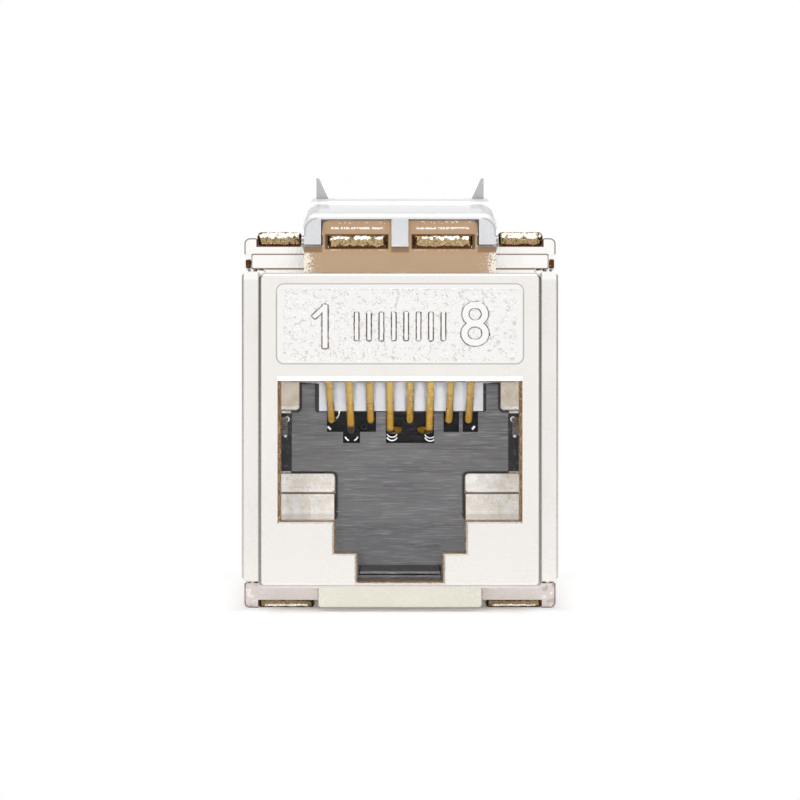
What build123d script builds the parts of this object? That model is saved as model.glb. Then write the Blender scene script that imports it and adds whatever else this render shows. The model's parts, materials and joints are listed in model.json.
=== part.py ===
"""A shielded keystone jack, closed round no cable and standing on its two skids.

A plated zinc casting carries the plug port in its nose and a top and a bottom wall
behind it. Two cast wings hinge at the shoulder, close the sides and the rear, and
press the wires onto eight slotted blades through the white stuffers inside them.
A pinned plastic latch on top and a hook below hold the jack in its panel.
"""

import os

from build123d import *

# Every size is in millimetres. X runs across the jack, Z is up, and depth is
# measured from the front face of the nose towards the rear, along +Y.

# Nose, which passes through the panel
nose_width = 14.2
nose_height = 15.8
nose_bottom = 1.6
nose_corner = 0.32
nose_edge = 0.25
panel_thickness = 1.6
shoulder_depth = 9.8

# Plug port: a wide part for the plug and two steps below it for its clip
port_width = 11.95
port_height = 6.94
clip_step_width = 6.5
clip_step_height = 1.6
clip_slot_width = 4.24
clip_slot_height = 1.45
clip_floor = 0.33
port_edge = 0.15
port_lip = 0.26
mouth_depth = 1.2
cavity_widening = 0.285
cavity_depth = 13.4

# Panel above the port, sunk into the face for a sign
plaque_side = 0.92
plaque_height = 3.74
plaque_rise = 0.91
plaque_corner = 0.38
plaque_sink = 0.15

# Inner end of the cavity, where the black insert shows through a window
end_wall = 0.8
window_set_in = 0.075
window_shoulder_drop = 1.47
window_shoulder_width = 0.48
window_corner = 0.22
ledge_half_width = 3.5
ledge_rise = 2.07
ledge_step_rise = 1.02
ledge_proud = 0.4
roof_recess_half_width = 4.75
roof_recess_height = 1.48
roof_recess_front = 1.4
side_pocket_sink = 0.34
side_pocket_drop = 1.62
side_pocket_height = 3.2
side_pocket_front = 2.2

# Core behind the shoulder, which holds the insert and the circuit board
core_gap = 0.24
core_wall = 0.9
core_floor = 1.1
core_roof = 1.15
core_set_back = 1.6
core_lip = 0.4

# Top wall with its rails and pads, and bottom wall with its feet and skids
wall_set_in = 0.17
wall_corner = 0.3
wall_overhang = 0.4
top_wall_rise = 0.65
top_wall_step = 0.7
top_wall_thickness = 0.39
rail_rise = 0.46
rail_width = 0.63
under_set_in = 0.8
latch_channel_depth = 0.24
latch_channel_margin = 0.18
head_set_in = 0.38
head_drop = 0.08
head_proud = 0.15
head_length = 2.05
ear_set_back = 0.2
ear_length = 1.9
pad_width = 2.33
pad_rise = 0.82
pad_set_back = 0.7
pad_length = 5.6
pad_gap = 0.02
pad_edge = 0.26
bottom_wall_drop = 0.3
bottom_wall_thickness = 0.88
foot_width = 0.72
skid_width = 2.97
skid_corner = 0.17
skid_set_back = 0.55

# Hook below the nose
hook_width = 8.56
hook_thickness = 1.5
hook_bottom = 0.2
hook_corner = 0.17
panel_clearance = 0.1

# Wings, each a side plate that turns in to close the rear
shoulder_reach = 1.32
wing_wall = 0.88
wing_set_back = 0.15
wing_foot_gap = 0.08
wing_head_gap = 0.13
wing_edge = 0.22
wing_taper = 3.12
wing_taper_length = 4.8
wing_tail_length = 3.2
wing_bend = 1.1
wing_gap = 0.15
wing_cap_wall = 0.84
wing_cap_gap = 0.15
hinge_inset = 0.57
hinge_set_back = 0.7
trunnion_radius = 0.25
trunnion_seat = 0.4
pivot_clearance = 0.03
grip_set_back = 4.2
grip_length = 12.4
grip_height = 12.0
grip_sink = 0.2
grip_corner = 1.0
grip_ribs = 6
grip_rib_pitch = 1.2
grip_rib_radius = 0.2

# Collar round the cable, half on each wing
collar_bore_radius = 3.4
collar_wall = 1.0
collar_length = 3.6
collar_rim = 0.5
collar_rim_width = 0.7

# Contacts, each a sprung wire from the roof of the port back to the circuit board
contact_count = 8
deep_contacts = (2, 4, 6)
right_jog_contact = 4
left_jog_contact = 6
contact_pitch = 1.05
contact_radius = 0.19
contact_sides = 8
contact_tip_depth = 2.4
contact_tip_rise = 0.98
contact_low_set_back = 1.7
contact_low_drop = 1.97
contact_deep_drop = 2.52
contact_bend = 0.6
contact_jog = 0.45
contact_jog_depth = 1.1
contact_tail = 0.35
contact_clearance = 0.04
contact_hole = contact_radius + contact_clearance

# Insert and comb, which guide the contacts
insert_set_back = 0.1
insert_thickness = 3.4
insert_clearance = 0.04
tongue_length = 6.7
tongue_thickness = 0.12
slot_top_drop = 1.55
slot_floor_drop = 2.63
slot_deep_drop = 3.23
slot_depth = 2.6
slots = (
    (-3.96, -1.3, slot_floor_drop),
    (-3.09, -2.17, slot_deep_drop),
    (-0.76, 1.84, slot_deep_drop),
    (2.36, 3.2, slot_floor_drop),
    (3.4, 4.23, slot_floor_drop),
)
comb_half_width = 4.53
comb_drop = 1.5
comb_height = 2.78
comb_thickness = 1.8
comb_groove_width = 0.52
comb_groove_depth = 0.8

# Earth springs, one at each side of the port
earth_thickness = 0.14
earth_height = 0.9
earth_drop = 0.2
earth_margin = 0.6
earth_seat = 0.05
earth_bow = 0.5

# Circuit board and the block behind it, with the slotted blades
board_thickness = 1.2
board_margin = 0.2
board_rise = 0.3
block_set_in = 1.7
block_clearance = 0.05
block_edge = 0.5
tail_room_depth = 0.6
tail_room_margin = 0.4
divider_half_width = 0.4
divider_length = 1.6
divider_height = 11.0
blade_thickness = 0.4
blade_width = 2.2
blade_stand = 1.8
blade_root_inset = 1.1
blade_slot = 0.34
blade_slot_depth = 1.4
blade_lead = 0.45
blade_tail_width = 0.7
blade_tail_seat = 0.9
blade_clearance = 0.04
front_blade_set_back = 3.4
blade_row_pitch = 4.6
block_tail = 2.8
front_blade_spread = 6.1
rear_blade_spread = 10.3

# Stuffers, which push the wires onto the blades
stuffer_gap = 0.25
stuffer_front_gap = 0.6
stuffer_tail = 1.2
stuffer_edge = 0.5
stuffer_slot_swing = 1.0
stuffer_slot_margin = 0.3
wire_groove_radius = 0.6
wire_groove_sink = 0.65

# Latch with its bracket, pin and leaf spring
bracket_front = 2.6
bracket_sheet = 0.25
bracket_half_width = 4.88
bracket_seat = 0.03
bracket_shoulder_rise = 1.42
bracket_rise = 2.75
bracket_cheek_gap = 0.07
bracket_corner = 0.35
bracket_foot_length = 5.8
bracket_ear_length = 2.2
bracket_ear_rise = 2.45
window_rise = 1.34
window_height = 0.66
window_inner = 0.63
window_width = 3.15
lug_gap = 0.03
lug_inner = 0.7
lug_outer = 3.62
lug_proud = 0.12
lug_thickness = 0.5
pin_set_back = 1.3
pin_rise = 1.8
pin_radius = 0.25
pin_half_length = 5.04
latch_overhang = 0.5
latch_half_width = 5.02
cheek_inner = 4.0
cheek_width = 0.86
cheek_gap = 0.08
cheek_length = 2.8
cheek_corner = 0.65
boss_radius = 0.5
rib_half_width = 0.43
rib_drop = 1.39
rib_thickness = 0.25
latch_stop_gap = 0.03
ramp_foot_thickness = 0.27
tooth_gap = 0.1
tooth_thickness = 0.7
tooth_block = 1.5
tooth_rise = 3.93
tooth_corner = 0.35
notch_floor_rise = 3.15
notch_thickness = 0.6
arm_shoulder_rise = 3.95
arm_web_set_back = 1.4
arm_web_thickness = 1.0
arm_knee_set_back = 7.8
arm_knee_rise = 4.75
arm_knee_thickness = 1.0
tail_rise_set_back = 2.6
tail_rise_step = 0.2
tail_rise_thickness = 0.75
tail_crest_set_back = 1.3
tail_length = 0.7
tail_crest_rise = 1.07
tail_lip_drop = 0.92
tail_half_width = 4.68
tail_edge = 0.15
fin_lead = 1.0
fin_heel = 0.3
fin_drop = 0.55
fin_base_width = 0.9
fin_tip_width = 0.15
leaf_sheet = 0.2
leaf_half_width = 2.4
leaf_lead = 1.1
leaf_flat = 2.3
leaf_rise_length = 1.9
leaf_rise = 1.34
leaf_reach = 4.2
leaf_bend = 1.2
leaf_gap = 0.03

# Heights that follow from these
nose_top = nose_bottom + nose_height
clip_slot_bottom = nose_bottom + clip_floor
clip_step_bottom = clip_slot_bottom + clip_slot_height
port_bottom = clip_step_bottom + clip_step_height
port_top = port_bottom + port_height
plaque_bottom = port_top + plaque_rise
ledge_top = port_bottom + ledge_rise
ledge_step = port_bottom + ledge_step_rise
roof = port_top + roof_recess_height
window_shoulder = port_top - window_shoulder_drop
side_pocket_top = port_top - side_pocket_drop
side_pocket_bottom = side_pocket_top - side_pocket_height
top_wall_bottom = nose_top + top_wall_rise
top_wall_ledge = top_wall_bottom + top_wall_step
top_wall_top = top_wall_ledge + top_wall_thickness
head_bottom = top_wall_bottom - head_drop
bottom_wall_top = nose_bottom - bottom_wall_drop
bottom_wall_bottom = bottom_wall_top - bottom_wall_thickness
core_pocket_bottom = bottom_wall_top + core_floor
core_pocket_top = top_wall_bottom - core_roof
board_bottom = core_pocket_bottom + board_rise
board_top = core_pocket_top - board_rise
wing_bottom = bottom_wall_top + wing_foot_gap
wing_top = head_bottom - wing_head_gap
collar_height = (wing_bottom + wing_top) / 2
slot_top = port_top - slot_top_drop
comb_bottom = port_top - comb_drop
comb_top = comb_bottom + comb_height
earth_top = side_pocket_top - earth_drop
bracket_low = nose_top + bracket_seat
bracket_top = nose_top + bracket_rise
bracket_shoulder = nose_top + bracket_shoulder_rise
window_bottom = nose_top + window_rise
window_top = window_bottom + window_height
pin_height = nose_top + pin_rise
cheek_bottom = bracket_shoulder + cheek_gap
skin_bottom = bracket_top + latch_stop_gap
rib_bottom = skin_bottom - rib_drop
ramp_foot = skin_bottom + ramp_foot_thickness
tooth_top = nose_top + tooth_rise
notch_floor = nose_top + notch_floor_rise
notch_under = notch_floor - notch_thickness
arm_shoulder_top = nose_top + arm_shoulder_rise
arm_web_under = arm_shoulder_top - arm_web_thickness
arm_knee_top = nose_top + arm_knee_rise
arm_knee_under = arm_knee_top - arm_knee_thickness
tail_rise_top = arm_knee_top + tail_rise_step
tail_under = tail_rise_top - tail_rise_thickness
tail_top = tail_rise_top + tail_crest_rise
tail_lip = tail_top - tail_lip_drop
fin_base = tail_rise_top - fin_drop

# Places across that follow from these
port_half_width = port_width / 2
cavity_half_width = port_half_width + cavity_widening
side_pocket_half_width = cavity_half_width + side_pocket_sink
window_half_width = port_half_width - window_set_in
window_shoulder_half_width = window_half_width - window_shoulder_width
wing_half_width = nose_width / 2 + shoulder_reach
wing_inner = wing_half_width - wing_wall
wing_taper_half_width = wing_half_width - wing_taper
hinge_x = wing_half_width - hinge_inset
wall_half_width = wing_half_width - wall_set_in
rail_inner = wall_half_width - rail_width
under_half_width = wall_half_width - under_set_in
head_half_width = wall_half_width - head_set_in
pad_outer = rail_inner - pad_gap
pad_inner = pad_outer - pad_width
foot_inner = wall_half_width - foot_width
skid_inner = foot_inner - skid_width
core_half_width = wing_inner - core_gap
core_pocket_half_width = core_half_width - core_wall
board_half_width = core_pocket_half_width - board_margin
block_half_width = board_half_width - block_set_in
blade_reach = block_half_width + blade_stand
blade_root = block_half_width - blade_root_inset
stuffer_inner = block_half_width + stuffer_gap
stuffer_outer = wing_inner - block_clearance
wire_groove_reach = stuffer_inner + wire_groove_sink
cheek_outer = cheek_inner + cheek_width
bracket_upper_half_width = cheek_inner - bracket_cheek_gap
latch_channel_half_width = latch_half_width + latch_channel_margin
window_outer = window_inner + window_width

# Depths that follow from these
pocket_front = cavity_depth + end_wall
insert_face = cavity_depth + insert_set_back
board_front = pocket_front + insert_thickness
board_rear = board_front + board_thickness
core_front = shoulder_depth + core_set_back
core_rear = board_rear + core_lip
tongue_front = insert_face - tongue_length
comb_front = cavity_depth
contact_low_depth = cavity_depth - contact_low_set_back
earth_front = side_pocket_front + earth_margin
earth_rear = cavity_depth - earth_margin / 3
front_blade_depth = core_rear + front_blade_set_back
rear_blade_depth = front_blade_depth + blade_row_pitch
block_front = board_rear + block_clearance
block_rear = rear_blade_depth + block_tail
stuffer_front = core_rear + stuffer_front_gap
stuffer_rear = rear_blade_depth + stuffer_tail
wall_rear = block_rear + wall_overhang
wing_front = shoulder_depth + wing_set_back
wing_rear = wall_rear + wing_tail_length
wing_taper_depth = wing_rear - wing_taper_length
hinge_depth = shoulder_depth + hinge_set_back
hook_rear = shoulder_depth - panel_thickness - panel_clearance
tooth_rear = hook_rear - 2 * tooth_gap
tooth_front = tooth_rear - tooth_thickness
tooth_block_front = tooth_rear - tooth_block
bracket_foot_rear = bracket_front + bracket_foot_length
bracket_ear_rear = bracket_front + bracket_ear_length
pin_depth = bracket_front + pin_set_back
latch_front = bracket_front - latch_overhang
cheek_rear = latch_front + cheek_length
arm_web_depth = shoulder_depth + arm_web_set_back
arm_knee_depth = shoulder_depth + arm_knee_set_back
tail_rise_depth = arm_knee_depth + tail_rise_set_back
tail_crest_depth = tail_rise_depth + tail_crest_set_back
tail_depth = tail_crest_depth + tail_length
fin_front = tail_rise_depth - fin_lead
fin_rear = tail_depth - fin_heel
leaf_front = pin_depth + leaf_lead
leaf_bend_depth = leaf_front + leaf_flat
leaf_rise_depth = leaf_bend_depth + leaf_rise_length
leaf_rear = leaf_rise_depth + leaf_reach
overall_length = wing_rear + collar_length
front_y = -overall_length / 2


def front_plane(depth):
    """Seen from the front: local X is across and local Y is up. Minus goes to the rear."""
    return Plane(origin=(0, front_y + depth, 0), x_dir=(1, 0, 0), z_dir=(0, -1, 0))


def side_plane(x=0.0):
    """Seen from the side: local X is depth and local Y is up."""
    return Plane(origin=(x, front_y, 0), x_dir=(0, 1, 0), z_dir=(1, 0, 0))


def plan_plane(height):
    """Seen from above: local X is across and local Y is depth."""
    return Plane(origin=(0, front_y, height), x_dir=(1, 0, 0), z_dir=(0, 0, 1))


def span(first, second, mode=Mode.ADD):
    """A rectangle between two limits on each axis of the sketch that it is in."""
    with Locations((sum(first) / 2, sum(second) / 2)):
        return Rectangle(first[1] - first[0], second[1] - second[0], mode=mode)


def both_sides(first, second, mode=Mode.ADD):
    """The same rectangle on the right and, mirrored, on the left."""
    span(first, second, mode)
    span((-first[1], -first[0]), second, mode)


def save(builder, name):
    """Labels a finished piece and writes its STEP file."""
    builder.part.label = name
    export_step(builder.part, f"parts/{name}.step")


def stepped_port():
    """Outline of the port: a wide rectangle over two narrower steps."""
    span((-port_half_width, port_half_width), (port_bottom, port_top))
    span((-clip_step_width / 2, clip_step_width / 2), (clip_step_bottom, port_bottom))
    span((-clip_slot_width / 2, clip_slot_width / 2), (clip_slot_bottom, clip_step_bottom))


def insert_window(gap=0.0):
    """Outline of the insert where it fills the end of the cavity, rounded over the ledges and tabs."""
    wide = window_half_width - gap
    shoulder = window_shoulder_half_width - gap
    stem = ledge_half_width - gap
    with BuildSketch(mode=Mode.PRIVATE) as outline:
        span((-wide, wide), (ledge_top + gap, window_shoulder - gap))
        span((-shoulder, shoulder), (ledge_top + gap, port_top - gap))
        span((-stem, stem), (clip_slot_bottom + gap, window_shoulder - gap))
        levels = outline.vertices().group_by(Axis.Y)
        over_ledges = levels[1].sort_by(Axis.X)[1:-1]
        under_tabs = levels[2].sort_by(Axis.X)[1:-1]
        fillet(over_ledges + under_tabs, window_corner + gap)
    add(outline.sketch)


def comb_outline(gap=0.0):
    """Outline of the comb, seen from the front."""
    span((-comb_half_width - gap, comb_half_width + gap), (comb_bottom - gap, comb_top + gap))


def contact_row():
    """Each contact's number, its place across, the shift of its tail, and its lowest height."""
    shift = {right_jog_contact: contact_jog, left_jog_contact: -contact_jog}
    row = []
    for number in range(1, contact_count + 1):
        x = (number - (contact_count + 1) / 2) * contact_pitch
        drop = contact_deep_drop if number in deep_contacts else contact_low_drop
        row.append((number, x, shift.get(number, 0.0), port_top - drop))
    return row


def blade_places():
    """Depth and height of the four blades on one side, front pair first."""
    places = []
    for depth, spread in (
        (front_blade_depth, front_blade_spread),
        (rear_blade_depth, rear_blade_spread),
    ):
        places.append((depth, collar_height - spread / 2))
        places.append((depth, collar_height + spread / 2))
    return places


def blade_outline(depth):
    """Fork of one blade on the right, with the tail that runs forward to the board."""
    front = depth - blade_width / 2
    rear = depth + blade_width / 2
    slot_front = depth - blade_slot / 2
    slot_rear = depth + blade_slot / 2
    tip = blade_reach - blade_lead
    slot_end = blade_reach - blade_slot_depth
    tail_front = board_rear - blade_tail_seat
    Polygon(
        (blade_root, front),
        (tip, front),
        (blade_reach, front + blade_lead),
        (blade_reach, slot_front - blade_lead / 2),
        (tip, slot_front),
        (slot_end, slot_front),
        (slot_end, slot_rear),
        (tip, slot_rear),
        (blade_reach, slot_rear + blade_lead / 2),
        (blade_reach, rear - blade_lead),
        (tip, rear),
        (blade_root - blade_tail_width, rear),
        (blade_root - blade_tail_width, tail_front),
        (blade_root, tail_front),
        align=None,
    )


def wing_outline():
    """Outer outline of both wings together, seen from above, open towards the front."""
    lead = wing_front - wing_bend
    Polygon(
        (-wing_half_width, lead),
        (wing_half_width, lead),
        (wing_half_width, wing_taper_depth),
        (wing_taper_half_width, wing_rear),
        (-wing_taper_half_width, wing_rear),
        (-wing_half_width, wing_taper_depth),
        align=None,
    )


os.makedirs("parts", exist_ok=True)

# Front casting
with BuildPart() as front_housing:
    with BuildSketch(front_plane(0)):
        with Locations((0, nose_bottom + nose_height / 2)):
            RectangleRounded(nose_width, nose_height, nose_corner)
    extrude(amount=-core_rear)
    fillet(front_housing.faces().sort_by(Axis.Y)[0].edges(), nose_edge)

    # Core behind the shoulder, and the head that carries the top wall
    with BuildSketch(front_plane(core_front)):
        span((-core_half_width, core_half_width), (bottom_wall_top, top_wall_bottom))
    extrude(amount=-(core_rear - core_front))
    with BuildSketch(front_plane(shoulder_depth - head_proud)):
        span((-head_half_width, head_half_width), (head_bottom, top_wall_ledge))
        span((-nose_width / 2, nose_width / 2), (nose_top - nose_corner, head_bottom))
    extrude(amount=-head_length)
    with BuildSketch(front_plane(shoulder_depth + ear_set_back)):
        both_sides((core_half_width, wall_half_width), (head_bottom, top_wall_ledge))
    extrude(amount=-ear_length)

    # Top wall with its rails and the channel for the latch
    with BuildSketch(front_plane(shoulder_depth)) as top_profile:
        span((-under_half_width, under_half_width), (top_wall_bottom, top_wall_ledge))
        span((-wall_half_width, wall_half_width), (top_wall_ledge, top_wall_top))
        both_sides((rail_inner, wall_half_width), (top_wall_top, top_wall_top + rail_rise))
        channel = (-latch_channel_half_width, latch_channel_half_width)
        span(channel, (top_wall_top - latch_channel_depth, top_wall_top), Mode.SUBTRACT)
        rail_corners = top_profile.vertices().group_by(Axis.Y)[-1].sort_by(Axis.X)
        fillet([rail_corners[0], rail_corners[-1]], wall_corner)
    extrude(amount=-(wall_rear - shoulder_depth))

    # Bottom wall with its feet, and the web that joins it to the nose
    with BuildSketch(front_plane(shoulder_depth)) as bottom_profile:
        span((-wall_half_width, wall_half_width), (bottom_wall_bottom, bottom_wall_top))
        both_sides((foot_inner, wall_half_width), (0, bottom_wall_bottom))
        foot_corners = bottom_profile.vertices().group_by(Axis.Y)[0].sort_by(Axis.X)
        fillet([foot_corners[0], foot_corners[-1]], wall_corner)
    extrude(amount=-(wall_rear - shoulder_depth))
    with BuildSketch(front_plane(shoulder_depth)):
        span((-nose_width / 2, nose_width / 2), (bottom_wall_top, nose_bottom + nose_corner))
    extrude(amount=-(core_rear - shoulder_depth))
    with BuildSketch(front_plane(shoulder_depth + skid_set_back)):
        for side in (-1, 1):
            with Locations((side * (skid_inner + foot_inner) / 2, bottom_wall_bottom / 2)):
                RectangleRounded(foot_inner - skid_inner, bottom_wall_bottom, skid_corner)
        both_sides((skid_inner + skid_corner, foot_inner), (bottom_wall_bottom / 2, bottom_wall_bottom))
    extrude(amount=-(wall_rear - shoulder_depth - skid_set_back))

    # Hook below the nose
    with BuildSketch(front_plane(hook_rear - hook_thickness)) as hook_profile:
        span((-hook_width / 2, hook_width / 2), (hook_bottom, nose_bottom + nose_corner))
        fillet(hook_profile.vertices().group_by(Axis.Y)[0], hook_corner)
    extrude(amount=-hook_thickness)

    # Lugs on the nose, which pass through the windows of the latch's bracket
    lug_low = window_bottom + lug_gap
    lug_high = window_top - lug_gap
    lug_span = (lug_inner, lug_outer)
    post_front = bracket_front + bracket_sheet + lug_gap
    with BuildSketch(front_plane(post_front)):
        both_sides(lug_span, (nose_top - nose_corner, lug_high))
    extrude(amount=-lug_thickness)
    with BuildSketch(front_plane(bracket_front - lug_proud)):
        both_sides(lug_span, (lug_low, lug_high))
    extrude(amount=-(post_front - bracket_front + lug_proud))

    # Port, with the wider cavity behind its mouth and the recesses round it
    with BuildSketch(front_plane(0)):
        stepped_port()
    extrude(amount=-cavity_depth, mode=Mode.SUBTRACT)
    with BuildSketch(front_plane(0)):
        stepped_port()
        offset(amount=port_edge, kind=Kind.INTERSECTION, mode=Mode.REPLACE)
        lip_half_width = port_half_width + port_edge
        span((-lip_half_width, lip_half_width), (port_top, port_top + port_lip))
    with BuildSketch(front_plane(port_edge)):
        stepped_port()
    loft(mode=Mode.SUBTRACT)
    with BuildSketch(front_plane(mouth_depth)):
        span((-cavity_half_width, cavity_half_width), (port_bottom, port_top))
    extrude(amount=-(cavity_depth - mouth_depth), mode=Mode.SUBTRACT)
    with BuildSketch(front_plane(roof_recess_front)):
        span((-roof_recess_half_width, roof_recess_half_width), (port_top, roof))
    extrude(amount=-(cavity_depth - roof_recess_front), mode=Mode.SUBTRACT)
    with BuildSketch(front_plane(side_pocket_front)):
        pocket_width = (-side_pocket_half_width, side_pocket_half_width)
        span(pocket_width, (side_pocket_bottom, side_pocket_top))
    extrude(amount=-(cavity_depth - side_pocket_front), mode=Mode.SUBTRACT)

    # Window in the end wall, the pocket behind it and the stepped ledges in front
    with BuildSketch(front_plane(cavity_depth)):
        insert_window()
        comb_outline(insert_clearance)
    extrude(amount=-end_wall, mode=Mode.SUBTRACT)
    with BuildSketch(front_plane(pocket_front)):
        pocket_width = (-core_pocket_half_width, core_pocket_half_width)
        span(pocket_width, (core_pocket_bottom, core_pocket_top))
    extrude(amount=-(core_rear - pocket_front), mode=Mode.SUBTRACT)
    with BuildSketch(front_plane(cavity_depth - ledge_proud)):
        both_sides((ledge_half_width, cavity_half_width), (port_bottom, ledge_step))
    extrude(amount=-ledge_proud)

    # Sunk panel above the port
    with BuildSketch(front_plane(0)):
        with Locations((0, plaque_bottom + plaque_height / 2)):
            RectangleRounded(nose_width - 2 * plaque_side, plaque_height, plaque_corner)
    extrude(amount=-plaque_sink, mode=Mode.SUBTRACT)

    # Seats for the wings' trunnions
    seat_depth = trunnion_seat + pivot_clearance
    for seat_start, direction in ((wing_top, 1), (wing_bottom, -1)):
        with BuildSketch(plan_plane(seat_start)):
            with Locations((-hinge_x, hinge_depth), (hinge_x, hinge_depth)):
                Circle(trunnion_radius + pivot_clearance)
        extrude(amount=direction * seat_depth, mode=Mode.SUBTRACT)

    # Pads on the top wall, rounded along their upper edges
    for side in (-1, 1):
        with BuildPart(mode=Mode.PRIVATE) as pad:
            with BuildSketch(front_plane(shoulder_depth + pad_set_back)):
                with Locations((side * (pad_inner + pad_outer) / 2, top_wall_top + pad_rise / 2)):
                    Rectangle(pad_width, pad_rise)
            extrude(amount=-pad_length)
            fillet(pad.faces().sort_by(Axis.Z)[-1].edges(), pad_edge)
        add(pad.part)
save(front_housing, "front_housing")

# Wings: the right one is a slice of the shell that both form, the left one its mirror image
with BuildPart() as right_wing:
    with BuildSketch(plan_plane(wing_bottom)):
        wing_outline()
    extrude(amount=wing_top - wing_bottom)
    bends = right_wing.edges().filter_by(Axis.Z).sort_by(Axis.Y)[-4:]
    fillet(bends, wing_bend)
    rims = right_wing.faces().filter_by(Axis.Z).edges()
    chamfer(rims.filter_by_position(Axis.Y, front_y + wing_front, front_y + wing_rear), wing_edge)
    with BuildSketch(plan_plane(0)):
        wing_outline()
        offset(amount=-wing_wall, kind=Kind.INTERSECTION, mode=Mode.REPLACE)
        cap_front = wall_rear + wing_cap_gap
        span((-wing_half_width, wing_half_width), (0, cap_front), Mode.INTERSECT)
    extrude(amount=wing_top + wing_bottom, mode=Mode.SUBTRACT)
    with BuildSketch(plan_plane(wing_bottom + wing_cap_wall)):
        wing_outline()
        offset(amount=-wing_wall, kind=Kind.INTERSECTION, mode=Mode.REPLACE)
    extrude(amount=wing_top - wing_bottom - 2 * wing_cap_wall, mode=Mode.SUBTRACT)

    # Collar with a rim for a tie
    collar_radius = collar_bore_radius + collar_wall
    for radius, start, length in (
        (collar_radius, wing_rear - wing_wall, collar_length + wing_wall),
        (collar_radius + collar_rim, overall_length - collar_rim_width, collar_rim_width),
    ):
        with BuildSketch(front_plane(start)):
            with Locations((0, collar_height)):
                Circle(radius)
        extrude(amount=-length)
    with BuildSketch(front_plane(wing_rear - 2 * wing_wall)):
        with Locations((0, collar_height)):
            Circle(collar_bore_radius)
    extrude(amount=-(collar_length + 2 * wing_wall), mode=Mode.SUBTRACT)

    # Only the right half stays, cut square at the hinge end
    with BuildSketch(plan_plane(0)):
        span((-2 * wing_half_width, wing_gap / 2), (0, overall_length))
        span((-2 * wing_half_width, 2 * wing_half_width), (0, wing_front))
    extrude(amount=wing_top + wing_bottom, mode=Mode.SUBTRACT)
    front_edges = right_wing.edges().filter_by(Axis.Z).group_by(Axis.Y)[0]
    fillet(front_edges.sort_by(Axis.X)[-1], wing_edge)

    # Trunnions
    with BuildSketch(plan_plane(wing_bottom - trunnion_seat)):
        with Locations((hinge_x, hinge_depth)):
            Circle(trunnion_radius)
    extrude(amount=2 * trunnion_seat)
    with BuildSketch(plan_plane(wing_top + trunnion_seat)):
        with Locations((hinge_x, hinge_depth)):
            Circle(trunnion_radius)
    extrude(amount=-2 * trunnion_seat)

    # Finger grip: a sunk field with upright ribs
    grip_centre = (shoulder_depth + grip_set_back + grip_length / 2, collar_height)
    with BuildSketch(side_plane(wing_half_width)):
        with Locations(grip_centre):
            RectangleRounded(grip_length, grip_height, grip_corner)
    extrude(amount=-grip_sink, mode=Mode.SUBTRACT)
    with BuildSketch(plan_plane(collar_height - grip_height / 2 + grip_corner)):
        with Locations((wing_half_width - grip_sink, grip_centre[0])):
            with GridLocations(0, grip_rib_pitch, 1, grip_ribs):
                Circle(grip_rib_radius)
    extrude(amount=grip_height - 2 * grip_corner)
save(right_wing, "right_wing")

with BuildPart() as left_wing:
    mirror(right_wing.part, about=Plane.YZ)
save(left_wing, "left_wing")

# Stuffers, fixed inside the wings: grooves for the wires and slots for the blades
with BuildPart() as right_stuffer:
    with BuildSketch(plan_plane(board_bottom)):
        span((stuffer_inner, stuffer_outer), (stuffer_front, stuffer_rear))
    extrude(amount=board_top - board_bottom)
    inner_edges = right_stuffer.faces().sort_by(Axis.X)[0].edges()
    chamfer(inner_edges, stuffer_edge)
    for depth in (front_blade_depth, rear_blade_depth):
        with BuildSketch(plan_plane(board_bottom)):
            groove = (depth - wire_groove_radius, depth + wire_groove_radius)
            span((stuffer_inner, wire_groove_reach), groove)
            with Locations((wire_groove_reach, depth)):
                Circle(wire_groove_radius)
        extrude(amount=board_top - board_bottom, mode=Mode.SUBTRACT)
    for depth, height in blade_places():
        slot_front = depth - blade_width / 2 - stuffer_slot_swing
        slot_rear = depth + blade_width / 2 + stuffer_slot_margin
        slot_half_height = blade_thickness / 2 + stuffer_slot_margin
        with BuildSketch(plan_plane(height - slot_half_height)):
            span((stuffer_inner, blade_reach + stuffer_slot_margin), (slot_front, slot_rear))
        extrude(amount=2 * slot_half_height, mode=Mode.SUBTRACT)
save(right_stuffer, "right_stuffer")

with BuildPart() as left_stuffer:
    mirror(right_stuffer.part, about=Plane.YZ)
save(left_stuffer, "left_stuffer")

# Blades: a fork that cuts into the wire, on a tail that reaches the board
for number, (depth, height) in enumerate(blade_places(), start=1):
    with BuildPart() as right_blade:
        with BuildSketch(plan_plane(height - blade_thickness / 2)):
            blade_outline(depth)
        extrude(amount=blade_thickness)
    save(right_blade, f"blade_{2 * number}")
    with BuildPart() as left_blade:
        mirror(right_blade.part, about=Plane.YZ)
    save(left_blade, f"blade_{2 * number - 1}")

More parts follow.
